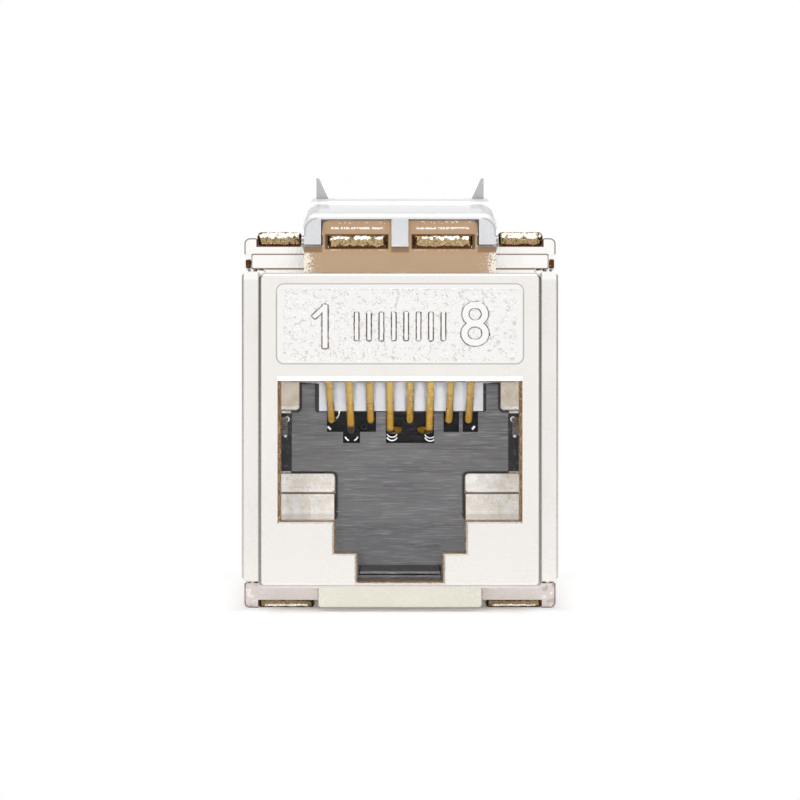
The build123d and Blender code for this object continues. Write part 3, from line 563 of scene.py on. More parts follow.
@dataclass
class Paint:
    """A material under construction: its tree, its shader, the place on the piece and its colour so far.

    The half is the place with its left side folded onto the right one, where that is asked for.
    """

    effects: Effects
    material: Material
    tree: Tree
    shader: bpy.types.Node
    point: Socket
    half: Socket
    colour: object

    def coat(self, label: str, mask: object, colour: object) -> None:
        """Covers the colour so far where a mask is."""
        self.colour = self.tree.mix(label, mask, self.colour, colour)

    def cover(self, coats: tuple[Coat, ...]) -> None:
        """Paints boxes one after another."""
        for coat in coats:
            self.coat(coat.label, self.zone(coat), coat.colour)

    def zone(self, box: Box) -> Socket:
        """A mask inside a box.

        Args:
            box: The box and how soft its sides are.

        Returns:
            The mask.
        """
        low, high = tuple(place(*box.low)), tuple(place(*box.high))
        zone = self.effects.zone
        return self.tree.use(zone, box.label, Point=self.half, Low=low, High=high, Softness=box.soft * MM)

    def cloud(self, label: str, size: float, detail: float) -> Socket:
        """Soft unevenness of a size in millimetres."""
        return self.tree.use(self.effects.cloud, label, Point=self.point, Size=size * MM, Detail=detail)

    def streaks(self, label: str, length: float, width: float) -> Socket:
        """Fine lines of a length and width in millimetres."""
        streaks = self.effects.streaks
        return self.tree.use(streaks, label, Point=self.point, Length=length * MM, Width=width * MM)

    def facing(self) -> tuple[Socket, bpy.types.bpy_prop_collection]:
        """The direction that the surface faces, whole and in parts."""
        direction = self.tree.add("ShaderNodeNewGeometry", "direction of the face").outputs["Normal"]
        return direction, self.tree.split("direction on each axis", direction)

    def rim_distance(self, line: EdgeLine) -> Socket:
        """Distance to a rounded rectangle, in metres.

        Args:
            line: The rectangle, with the line's width, depths and strength.

        Returns:
            The distance, less than nought inside.
        """
        middle = tuple(place(line.middle[0], 0.0, line.middle[1]))
        core = ((line.half[0] - line.corner) * MM, 1.0, (line.half[1] - line.corner) * MM)
        rounded, radius = self.effects.rounded, line.corner * MM
        return self.tree.use(rounded, line.label, Point=self.half, Middle=middle, Core=core, Radius=radius)

    def outline(self, line: EdgeLine) -> Socket:
        """A mask along a rounded rectangle, on the depths that the line gives.

        Args:
            line: The rectangle, with the line's width, depths and strength.

        Returns:
            The mask.
        """
        near = self.tree.math("either side", "ABSOLUTE", self.rim_distance(line))
        mask = self.tree.spread("line", near, line.width * MM, 0.5 * line.width * MM, 0.0, line.strength)
        reach = (line.half[0] + 1.0, line.half[1] + 1.0)
        low = (line.middle[0] - reach[0], line.depths[0], line.middle[1] - reach[1])
        high = (line.middle[0] + reach[0], line.depths[1], line.middle[1] + reach[1])
        return self.tree.times(line.label, mask, self.zone(Box(f"{line.label} depth", low, high)))

    def draw(self, lines: tuple[EdgeLine, ...], colour: Colour) -> None:
        """Draws lines in one colour."""
        for line in lines:
            self.coat(line.label, self.outline(line), colour)

    def finish(self, height: Socket, depth: float, **inputs: Socket) -> Material:
        """Closes the material.

        Args:
            height: Height of the surface's relief, from nought to one.
            depth: Depth of that relief in millimetres.
            inputs: Shader inputs by name, beside the colour so far.

        Returns:
            The material.
        """
        bump = self.tree.add("ShaderNodeBump", "relief")
        bump.inputs["Strength"].default_value = 1.0
        bump.inputs["Distance"].default_value = depth * MM
        self.tree.feed(bump.inputs["Height"], height)
        for name, value in {"Base Color": self.colour, **inputs, "Normal": bump.outputs[0]}.items():
            self.tree.feed(self.shader.inputs[name], value)
        return self.material


@dataclass(frozen=True)
class Finish:
    """What every finish shares: a name, a colour and how rough and metallic it is."""

    effects: Effects
    name: str
    colour: Colour
    roughness: float
    metallic: float = 0.0

    def start(self, folded: bool = False) -> Paint:
        """Opens a material, with its left half folded onto the right one if asked for.

        Args:
            folded: Whether the left half takes the right one's places.

        Returns:
            The open material.
        """
        material = bpy.data.materials.new(self.name)
        material.use_nodes = True
        material.diffuse_color = (*self.colour, 1.0)
        tree = Tree(material.node_tree)
        shader = material.node_tree.nodes["Principled BSDF"]
        shader.inputs["Base Color"].default_value = (*self.colour, 1.0)
        shader.inputs["Roughness"].default_value = self.roughness
        shader.inputs["Metallic"].default_value = self.metallic
        point = half = tree.add("ShaderNodeTexCoord", "place on the jack").outputs["Object"]
        if folded:
            parts = tree.split("place on each axis", point)
            aside = tree.math("from the middle", "ABSOLUTE", parts[0])
            half = tree.join("folded onto the right", aside, parts[1], parts[2])
        return Paint(self.effects, material, tree, shader, point, half, self.colour)


@dataclass(frozen=True)
class PlatedCasting(Finish):
    """Nickel plating on a zinc casting, with painted shade where edges turn and round the port, and painted
    highlights on its lip, ledges and tabs.
    """

    cloud_colour: Colour = (0.865, 0.832, 0.792)
    # painted shade for the turned edges and for the sign field's outline
    edge_shade_colour: Colour = (0.24, 0.205, 0.18)
    sign_colour: Colour = (0.93, 0.92, 0.905)
    wrinkle_colour: Colour = (0.56, 0.50, 0.46)
    # painted shade: brown of the port's walls and of the clip room's entry
    wall_shade_colour: Colour = (0.30, 0.20, 0.12)
    ledge_colour: Colour = (0.89, 0.83, 0.75)
    sand_colour: Colour = (0.56, 0.45, 0.33)
    tab_colour: Colour = (0.80, 0.69, 0.56)
    # dark brown for pits, for painted shade lines, for painted shade under the skins and round the rim, and
    # for dark painted reflections on the toes
    line_colour: Colour = (0.16, 0.09, 0.045)
    # painted shade: brown of the port's rim
    rim_shade_colour: Colour = (0.42, 0.27, 0.13)
    # near white for the ledges' bright patches, and for painted highlights and reflections on ledges, tabs,
    # toes, crease and lip
    bright_colour: Colour = (1.0, 0.99, 0.97)
    # painted shade line along the edge of the sunk sign field
    sign: EdgeLine = EdgeLine("sign field", (0.0, 14.83), (6.18, 2.0), 0.38, (-0.1, 0.3), 0.045, 0.5)
    sign_floor: EdgeLine = EdgeLine("stippled floor", (0.0, 14.77), (5.83, 1.8), 0.25, (-0.1, 0.3))
    sign_front: Box = Box("front", (-1.0, -0.1, 12.0), (7.0, 0.3, 17.5))
    shoulder: Coat = Coat("shoulder", (-1.0, 8.9, 17.4), (8.4, 11.0, 19.8), 0.1, (0.99, 0.965, 0.94))
    port: Box = Box("inside the port", (-1.0, 0.5, 1.85), (6.75, 14.0, 13.6), 0.12)
    tabs: Box = Box("tabs", (5.2, 1.8, 10.6), (6.8, 14.0, 12.2), 0.05)
    floor_strips: tuple[Coat, ...] = (
        Coat("floor before the ledges", (3.3, 1.0, 4.9), (6.8, 9.6, 5.0), 0.02, sand_colour),
        # painted reflection: the foot of the ledges made bright
        Coat("foot of the ledges", (3.3, 9.8, 4.9), (6.8, 14.0, 5.0), 0.02, bright_colour),
    )
    # painted highlight on the lower edge of the upper ledge
    shine: Box = Box("edge of the upper ledge", (3.3, 12.8, 6.05), (6.4, 14.0, 6.22), 0.03)
    # painted highlight on the lower ends of the tabs
    curl: Box = Box("ends of the tabs", (5.3, 12.8, 10.4), (6.4, 14.0, 10.68), 0.05)
    ledges: Box = Box("ledges and tabs", (3.3, 1.8, 4.9), (6.8, 14.0, 12.2), 0.05)
    # the brown entry is painted shade and the bright crease a painted highlight
    clip_room: tuple[Coat, ...] = (
        Coat("polished walls", (-1.0, 0.3, 1.89), (3.45, 14.0, 4.93), 0.025, (0.97, 0.97, 0.97)),
        Coat("brown entry", (-1.0, 0.1, 1.89), (2.3, 4.3, 2.1), 0.025, wall_shade_colour),
        Coat("bright crease", (-1.0, 4.7, 1.89), (2.3, 5.3, 2.1), 0.025, bright_colour),
    )
    polish: Box = Box("walls behind the mouth", (-1.0, 1.6, 1.89), (6.8, 12.9, 12.2), 0.05)
    # the bottom wall is darkened as painted shade near the floor; the coats under the skins are painted
    # shade where skins meet the casting
    below: tuple[Coat, ...] = (
        Coat("bottom wall", (-1.0, 9.2, -1.0), (8.4, 31.0, 1.42), 0.04, (0.70, 0.63, 0.61)),
        Coat("hook", (-1.0, 6.4, 0.1), (4.3, 8.3, 1.58), 0.03, (0.775, 0.755, 0.67)),
        Coat("under a lug skin", (0.5, 2.0, 18.6), (3.8, 8.0, 19.5), 0.02, line_colour),
        Coat("under a pad skin", (5.15, 10.3, 19.05), (7.7, 16.4, 20.3), 0.02, line_colour),
        Coat("under a skid skin", (4.5, 10.2, -0.1), (7.56, 11.2, 0.48), 0.02, line_colour),
    )
    # painted reflections on the toes' corners
    toes: Box = Box("toes", (7.55, 9.7, -1.0), (8.4, 10.4, 1.5), 0.1)
    front: Box = Box("front parts", (-1.0, -0.1, -0.1), (9.0, 12.3, 20.5), 0.1)
    mouth: Box = Box("mouth of the port", (-1.0, -0.1, 1.78), (6.2, 1.0, 12.25))
    rim: Box = Box("port rim", (-1.0, -0.05, 1.75), (6.16, 1.4, 11.985), 0.015)
    # painted highlight on the port's upper lip
    lip: Box = Box("upper lip", (-1.0, -0.05, 11.985), (6.2, 0.3, 12.3), 0.015)
    # painted shade lines along the flange and head rims, and round the ledges, the tabs and the hook
    lines: tuple[EdgeLine, ...] = (
        EdgeLine("upper wall rim", (0.0, 18.8), (8.25, 0.8), 0.3, (9.7, 9.86), 0.08, 0.9),
        EdgeLine("lower wall rim", (0.0, 0.71), (8.25, 0.71), 0.3, (9.7, 9.86), 0.08, 0.9),
        EdgeLine("head rim", (0.0, 18.36), (7.87, 0.39), 0.12, (9.55, 9.8), 0.06, 0.9),
        EdgeLine("upper ledge", (4.95, 6.53), (1.45, 0.54), 0.22, (13.2, 13.5), 0.07),
        EdgeLine("lower ledge", (4.95, 5.2), (1.45, 0.8), 0.08, (12.8, 13.2), 0.08, 1.0),
        EdgeLine("tab", (5.89, 11.4), (0.47, 0.95), 0.22, (13.2, 13.5), 0.07),
        EdgeLine("hook", (0.0, 0.95), (4.28, 0.75), 0.17, (6.0, 8.4), 0.06),
    )

    def build(self) -> Material:
        """Makes the material.

        Returns:
            The material.
        """
        paint = self.start(folded=True)
        tree = paint.tree
        clouds = paint.cloud("plating clouds", 2.4, 3.0)
        mottle = paint.cloud("fine mottle", 0.16, 2.0)
        paint.coat("plating", tree.times("uneven tone", clouds, mottle), self.cloud_colour)
        stipple = self.stipple(paint)
        paint.cover((self.shoulder,))
        polished = self.inside_port(paint, mottle)
        self.underside(paint)
        # painted edge shade, rim shade and lip highlight; the mask of rim and lip lowers the metallic
        dull = self.paint_edge_shade(paint)
        # painted shade lines
        paint.draw(self.lines, self.line_colour)
        gloss = tree.spread("uneven gloss", clouds, 0.0, 1.0, 0.2, 0.28)
        shine = tree.times("how much duller", gloss, tree.spread("polished", polished, 0.0, 1.0, 1.0, 0.45))
        deep = tree.times("stipple", paint.cloud("stipple lumps", 0.17, 2.0), stipple)
        height = tree.math("height", "ADD", deep, tree.times("casting skin", mottle, 0.1))
        return paint.finish(
            height, 0.02, Metallic=tree.spread("bare metal", dull, 0.0, 1.0, 1.0, 0.3), Roughness=shine
        )

    def stipple(self, paint: Paint) -> Socket:
        """Outlines the sunk sign field with a painted shade line, wrinkles its floor and returns a mask of
        that floor.

        Args:
            paint: The material so far.

        Returns:
            A mask of the floor.
        """
        tree = paint.tree
        front = paint.zone(self.sign_front)
        field = tree.spread("inside the field", paint.rim_distance(self.sign), 0.02 * MM, -0.02 * MM)
        paint.coat("sign field", tree.times("sign field", field, front), self.sign_colour)
        within = tree.spread("inside the floor", paint.rim_distance(self.sign_floor), 0.03 * MM, -0.03 * MM)
        stipple = tree.times("stippled floor", within, front)
        wrinkles = tree.use(
            self.effects.wrinkles, "wrinkles", Point=paint.point, Size=0.23 * MM, Width=0.06
        )
        shown = tree.times("wrinkles on the floor", stipple, wrinkles)
        paint.coat("wrinkles", tree.times("faint", shown, 0.7), self.wrinkle_colour)
        # painted shade line round the sunk sign field
        paint.draw((self.sign,), self.edge_shade_colour)
        return stipple

    def inside_port(self, paint: Paint, mottle: Socket) -> Socket:
        """Paints shade brown on the port's walls and brightens the ledges, tabs and walls behind it, with
        painted highlights on the ledges' foot and edges and the tabs' ends.

        Args:
            paint: The material so far.
            mottle: Fine unevenness.

        Returns:
            A mask of the polished walls.
        """
        tree = paint.tree
        # painted shade: the port's walls browned, mottled with sand colour
        shaded_walls = tree.mix("walls", mottle, self.wall_shade_colour, self.sand_colour)
        paint.coat("port walls", paint.zone(self.port), shaded_walls)
        walls, paint.colour = paint.colour, self.ledge_colour
        patches = paint.cloud("ledge patches", 0.5, 4.0)
        paint.coat("patches", patches, self.bright_colour)
        flecks = self.effects.flecks
        pits = tree.use(flecks, "ledge pits", Point=paint.point, Size=0.12 * MM, Share=0.03)
        paint.coat("pits", pits, self.line_colour)
        tab = tree.mix("tab patches", patches, self.tab_colour, self.ledge_colour)
        paint.coat("tabs", paint.zone(self.tabs), tab)
        paint.cover(self.floor_strips)
        # painted highlights on the edge of the upper ledge and the ends of the tabs
        both = tree.math("bright edges", "MAXIMUM", paint.zone(self.shine), paint.zone(self.curl))
        paint.coat("shine", tree.times("mostly", both, 0.8), self.bright_colour)
        cast, paint.colour = paint.colour, walls
        paint.coat("end of the port", paint.zone(self.ledges), cast)
        # painted shade on the entry and a painted highlight on the crease
        paint.cover(self.clip_room)
        entry = paint.zone(self.clip_room[1])
        return tree.math("polished", "SUBTRACT", paint.zone(self.polish), entry)

    def underside(self, paint: Paint) -> None:
        """Darkens the bottom wall and what lies under gold skins with painted shade, tints the hook and
        paints reflections on the toes.

        Args:
            paint: The material so far.
        """
        # painted shade on the bottom wall and under the skins
        paint.cover(self.below)
        tree, toes = paint.tree, paint.zone(self.toes)
        # painted reflections: bright and dark streaks on the toes, as on chrome
        reflection_pattern = paint.cloud("toe painted_reflection", 0.45, 1.0)
        bright_reflection = tree.spread("bright_reflection", reflection_pattern, 0.4, 0.2, 0.0, 0.5)
        paint.coat("toe gleams", tree.times("bright marble", toes, bright_reflection), self.bright_colour)
        dark_reflection = tree.spread("dark_reflection", reflection_pattern, 0.9, 1.0, 0.0, 0.3)
        paint.coat("toe veins", tree.times("dark marble", toes, dark_reflection), self.line_colour)

    def paint_edge_shade(self, paint: Paint) -> Socket:
        """Paints shade on the rounded front edges, paints the port's rim brown as shade and puts a painted
        highlight on the upper lip.

        Args:
            paint: The material so far.

        Returns:
            A mask of the rim and the lip.
        """
        tree = paint.tree
        direction, facing = paint.facing()
        spot = tree.split("place along each axis", paint.half)
        turned = tree.use(self.effects.turned, "turned edges", Direction=direction)
        outside = tree.math("outside the mouth", "SUBTRACT", paint.zone(self.front), paint.zone(self.mouth))
        edges = tree.times("front edges", turned, tree.math("at least none", "MAXIMUM", outside, 0.0))
        wings = tree.spread("outermost edges", spot[0], 8.2 * MM, 8.3 * MM, 0.85, 0.25)
        # painted shade: rounded front edges darkened where they turn away from the front
        paint.coat("dark edges", tree.times("mostly", edges, wings), self.edge_shade_colour)
        aside = tree.spread("not the front", facing[1], -0.97, -0.86)
        inner = tree.spread("inner part", spot[1], front_y() + 0.07 * MM, front_y() + 0.1 * MM, 1.0, 0.0)
        steps = tree.spread("within the steps", spot[0], 5.6 * MM, 5.8 * MM, 1.0, 0.0)
        thin = tree.math("thin rims", "MAXIMUM", steps, tree.spread("faces up", facing[2], 0.3, 0.5))
        kept = tree.math("kept part", "SUBTRACT", 1.0, tree.times("outer part of a thin rim", inner, thin))
        rim = tree.times("rim", tree.times("rim of the port", paint.zone(self.rim), aside), kept)
        # painted shade: the port's rim browned, with darker specks
        dots = tree.spread("rim dots", paint.cloud("rim specks", 0.12, 2.0), 0.55, 0.95)
        paint.coat("brown rim", rim, tree.mix("rim dots", dots, self.line_colour, self.rim_shade_colour))
        # painted highlight: the bevel on the port's upper lip made white
        lip = tree.times("lip", paint.zone(self.lip), aside)
        paint.coat("bright lip", lip, self.bright_colour)
        return tree.math("rim and lip", "MAXIMUM", rim, lip)


@dataclass(frozen=True)
class RaisedSign(Finish):
    """Bright plating on the raised signs, with broken painted shade where their edges turn."""

    edge_shade_colour: Colour = (0.20, 0.14, 0.12)

    def build(self) -> Material:
        """Makes the material.

        Returns:
            The material.
        """
        paint = self.start()
        tree = paint.tree
        # painted shade, broken up, on the turned edges of the signs
        broken = paint.cloud("broken tarnish", 0.3, 2.0)
        aside = tree.spread("edge", paint.facing()[1][1], -0.985, -0.9)
        dark = tree.spread("how dark", broken, 0.0, 0.6, 0.45, 0.95)
        paint.coat("edges", tree.times("paint_edge_shade", aside, dark), self.edge_shade_colour)
        return paint.finish(broken, 0.006)


@dataclass(frozen=True)
class MouldedPlastic(Finish):
    """Opaque moulded plastic with a fine skin."""

    grain: float = 0.25
    grain_height: float = 0.003
    shade: float = 0.95

    def build(self) -> Material:
        """Makes the material.

        Returns:
            The material.
        """
        paint = self.start()
        grain = paint.cloud("moulded skin", self.grain, 3.0)
        paint.colour = tuple(channel * self.shade for channel in self.colour)
        paint.coat("skin", grain, self.colour)
        span = (self.roughness - 0.05, self.roughness + 0.08)
        gloss = paint.tree.spread("uneven gloss", grain, 0.0, 1.0, *span)
        return paint.finish(grain, self.grain_height, Roughness=gloss)


@dataclass(frozen=True)
class InsertPlastic(Finish):
    """Black plastic whose face is brushed grey and whose slots are glossy."""

    face_dark: Colour = (0.075, 0.075, 0.08)
    face_bright: Colour = (0.26, 0.26, 0.27)
    slot_colour: Colour = (0.012, 0.012, 0.014)
    slots: Coat = Coat("behind the face", (-9.0, 13.62, 0.0), (9.0, 40.0, 20.0), 0.02, slot_colour)
    shadows: tuple[EdgeLine, ...] = (
        EdgeLine("round a tab", (5.9, 11.4), (0.53, 1.0), 0.24, (13.3, 13.6), 0.09, 0.85),
        EdgeLine("round the ledges", (4.95, 6.0), (1.52, 1.1), 0.24, (13.3, 13.6), 0.09, 0.85),
    )

    def build(self) -> Material:
        """Makes the material.

        Returns:
            The material.
        """
        paint = self.start(folded=True)
        tree = paint.tree
        lines = paint.streaks("brushed lines", 2.2, 0.07)
        broad = paint.streaks("broad bands", 6.0, 0.6)
        paint.coat("face", tree.times("line tone", lines, broad), self.face_dark)
        few = tree.spread("few", paint.streaks("bright lines", 1.1, 0.04), 0.7, 1.0, 0.0, 0.6)
        paint.coat("bright lines", few, self.face_bright)
        paint.draw(self.shadows, self.slot_colour)
        paint.cover((self.slots,))
        gloss = tree.spread("slot gloss", paint.zone(self.slots), 0.0, 1.0, self.roughness, 0.12)
        return paint.finish(lines, 0.014, Roughness=gloss)


@dataclass(frozen=True)
class ClearWhitePlastic(Finish):
    """White plastic that lets some light through, painted grey as shade and paler as light on its top."""

    # grey for painted shade on the white plastic
    core_colour: Colour = (0.395, 0.40, 0.41)
    lit_top_colour: Colour = (0.98, 0.98, 0.98)
    line_colour: Colour = (0.16, 0.15, 0.15)
    # heights over which the painted light on the top fades in
    pale_from: float = 20.12
    pale_to: float = 20.7
    # painted light and shade on the arm's sides and on the fins' fronts
    step: Coat = Coat("sides of the arm", (4.15, 2.7, 19.9), (5.4, 18.9, 21.6), 0.12, (0.71, 0.71, 0.71))
    fins: Coat = Coat("front of the fins", (3.6, 18.9, 20.6), (4.9, 19.5, 24.0), 0.05, (0.34, 0.34, 0.34))
    # painted shade of the fins, seen faintly through the arm
    through: Box = Box("fins seen through the arm", (3.65, 1.8, 20.85), (4.28, 18.9, 21.7), 0.12)
    # painted shade line at the ribs' outer corners
    corner: EdgeLine = EdgeLine("rib corner", (0.0, 17.7), (4.82, 2.52), 0.68, (1.9, 2.6), 0.05, 0.55)
    corners: Box = Box("outer corners", (4.2, 1.8, 19.3), (5.0, 2.7, 20.3), 0.05)

    def build(self) -> Material:
        """Makes the material: grey ribs and fins as painted shade, paler between and above them as painted
        light.

        Returns:
            The material.
        """
        paint = self.start(folded=True)
        tree, shader = paint.tree, paint.shader
        paint.coat("haze", paint.cloud("haze", 4.0, 1.0), self.core_colour)
        height = tree.split("place along each axis", paint.point)[2]
        high = tree.spread("thin upper part", height, self.pale_from * MM, self.pale_to * MM)
        # painted light: the top made paler where light falls on it
        paint.coat("paler above", high, self.lit_top_colour)
        paint.cover((self.step, self.fins))
        faint = tree.times("faintly", paint.zone(self.through), 0.4)
        paint.coat("fins behind", faint, self.fins.colour)
        line = tree.times("corner line", paint.zone(self.corners), paint.outline(self.corner))
        paint.coat("corner line", line, self.line_colour)
        shader.inputs["Subsurface Weight"].default_value = 0.35
        shader.inputs["Subsurface Radius"].default_value = (1.0, 1.0, 1.0)
        shader.inputs["Subsurface Scale"].default_value = 0.5 * MM
        shader.inputs["Coat Weight"].default_value = 0.15
        shader.inputs["Coat Roughness"].default_value = 0.2
        skin = paint.cloud("moulded skin", 0.3, 2.0)
        return paint.finish(skin, 0.004, Roughness=tree.spread("uneven gloss", skin, 0.0, 1.0, 0.3, 0.45))


@dataclass(frozen=True)
class RolledMetal(Finish):
    """Rolled or drawn metal with faint lines, and other tones in some boxes, painted shade among them."""

    coats: tuple[Coat, ...] = ()
    line_length: float = 3.0
    line_width: float = 0.08
    line_height: float = 0.004

    def build(self) -> Material:
        """Makes the material.

        Returns:
            The material.
        """
        paint = self.start()
        lines = paint.streaks("rolling lines", self.line_length, self.line_width)
        paint.coat("lines", lines, tuple(min(1.0, channel * 1.12) for channel in self.colour))
        paint.cover(self.coats)
        span = (self.roughness - 0.04, self.roughness + 0.08)
        gloss = paint.tree.spread("uneven gloss", lines, 0.0, 1.0, *span)
        return paint.finish(lines, self.line_height, Roughness=gloss)


@dataclass(frozen=True)
class BracketBronze(Finish):
    """Bronze sheet with painted shade round its windows and under the ribs, painted jagged glints, and
    lower corners that fade out in a painted reflection.
    """

    glint: Colour = (1.0, 0.98, 0.95)
    # pale of the painted reflection at the lower corners
    pale: Colour = (0.86, 0.80, 0.72)
    tones: tuple[Coat, ...] = (
        Coat("lower band", (-1.0, 2.0, 17.2), (4.4, 3.0, 18.3), 0.35, (0.47, 0.335, 0.22)),
        # painted shade under the ribs and round the windows
        Coat("under the middle rib", (-1.0, 2.0, 18.52), (0.46, 3.0, 18.83), 0.05, (0.30, 0.19, 0.12)),
        Coat("under a side rib", (3.95, 2.0, 18.52), (5.2, 3.0, 18.83), 0.05, (0.30, 0.19, 0.12)),
        Coat("window rims", (0.58, 2.0, 18.68), (3.81, 3.1, 19.45), 0.03, (0.15, 0.085, 0.045)),
    )
    # painted highlights: jagged glints across the bracket
    glints: tuple[tuple[Box, float, float], ...] = (
        (Box("glint below", (0.75, 2.0, 18.62), (3.6, 3.0, 18.66), 0.025), 0.3, 1.4),
        (Box("lower glint above", (0.8, 2.0, 19.70), (3.5, 3.0, 19.80), 0.025), 0.2, 0.55),
        (Box("upper glint above", (0.7, 2.0, 19.98), (3.6, 3.0, 20.1), 0.025), 0.7, 1.0),
    )
    # painted reflection: the lower corners fade out pale and ragged
    reflection_fade: Box = Box("lower corners", (4.0, 2.0, 17.0), (5.2, 3.0, 18.5), 0.06)
    reflection_fade_from: float = 4.2
    reflection_fade_to: float = 4.9

    def build(self) -> Material:
        """Makes the material.

        Returns:
            The material.
        """
        paint = self.start(folded=True)
        tree = paint.tree
        lines = paint.streaks("rolling lines", 3.0, 0.3)
        paint.coat("lines", lines, tuple(channel * 1.08 for channel in self.colour))
        paint.cover(self.tones)
        ragged = paint.cloud("ragged", 0.13, 3.0)
        for box, start, end in self.glints:
            bits = tree.times("ragged glint", paint.zone(box), tree.spread("bits", ragged, start, end))
            paint.coat("glints", bits, self.glint)
        # painted reflection fading out towards the corners
        aside = tree.split("place along each axis", paint.half)[0]
        outward = tree.spread("outward", aside, self.reflection_fade_from * MM, self.reflection_fade_to * MM, -0.25, 0.75)
        spray = paint.cloud("spray", 0.09, 3.0)
        grains = tree.spread("grains", tree.math("ragged end", "ADD", outward, spray), 0.5, 1.2)
        paint.coat("reflection_fade", tree.times("reflection_fade", paint.zone(self.reflection_fade), grains), self.pale)
        gloss = tree.spread("uneven gloss", lines, 0.0, 1.0, 0.32, 0.42)
        return paint.finish(tree.times("height", lines, 0.1), 0.03, Roughness=gloss)


@dataclass(frozen=True)
class RoughGold(Finish):
    """Gold-toned cast skin, its gold a painted warm reflection on rough nickel: grainy, with painted shade
    at its ends and a ragged painted highlight above.
    """

    light: Colour = (0.52, 0.39, 0.22)
    glint: Colour = (0.98, 0.94, 0.87)
    # painted shade at the ends of each skin
    dark: Colour = (0.10, 0.05, 0.02)
    cores: tuple[Box, ...] = (
        Box("lug core", (0.82, 2.0, 18.86), (3.50, 3.0, 19.7), 0.07),
        Box("pad core", (5.34, 10.0, 19.30), (7.40, 17.0, 20.3), 0.07),
        Box("skid core", (4.72, 10.0, 0.06), (7.38, 11.0, 0.37), 0.07),
    )
    # painted highlights along the upper part of each skin
    glints: tuple[Box, ...] = (
        Box("lug glint", (0.80, 2.0, 19.17), (3.50, 3.0, 19.34), 0.09),
        Box("pad glint", (5.36, 10.0, 19.64), (7.48, 17.0, 19.92), 0.09),
        Box("skid glint", (4.9, 10.0, 0.04), (7.2, 11.0, 0.19), 0.09),
    )
    calm: Box = Box("skids", (4.4, 10.0, -0.1), (7.7, 11.2, 0.6), 0.05)

    def build(self) -> Material:
        """Makes the material: painted shade at the ends, a ragged painted highlight above and gold grain
        below.

        Returns:
            The material.
        """
        paint = self.start(folded=True)
        tree = paint.tree
        lumps = paint.cloud("lumps", 0.13, 3.0)
        uneven = paint.cloud("uneven rims", 0.24, 3.0)
        share = tree.spread("calmer on the skids", paint.zone(self.calm), 0.0, 1.0, 1.1, 0.35)
        ragged = tree.times("ragged", tree.math("either way", "SUBTRACT", uneven, 0.5), share)
        paint.coat("lumps", lumps, self.light)
        core = tree.math("ragged core", "ADD", self.joined(paint, self.cores), ragged)
        # painted shade outside the cores
        paint.coat("dark ends", tree.spread("dark ends", core, 0.6, 0.35), self.dark)
        glint = tree.math("ragged glint", "ADD", self.joined(paint, self.glints), ragged)
        bright = tree.spread("highlight", glint, 0.55, 0.85)
        paint.coat("glint", bright, self.glint)
        metallic = tree.spread("bare metal", bright, 0.0, 1.0, 1.0, 0.5)
        gloss = tree.spread("uneven gloss", lumps, 0.0, 1.0, 0.2, 0.36)
        return paint.finish(lumps, 0.025, Metallic=metallic, Roughness=gloss)

    @staticmethod
    def joined(paint: Paint, boxes: tuple[Box, ...]) -> Socket:
        """One mask for several boxes.

        Args:
            paint: The material so far.
            boxes: The boxes.

        Returns:
            The mask.
        """
        whole, *others = [paint.zone(box) for box in boxes]
        for mask in others:
            whole = paint.tree.math("any of them", "MAXIMUM", whole, mask)
        return whole


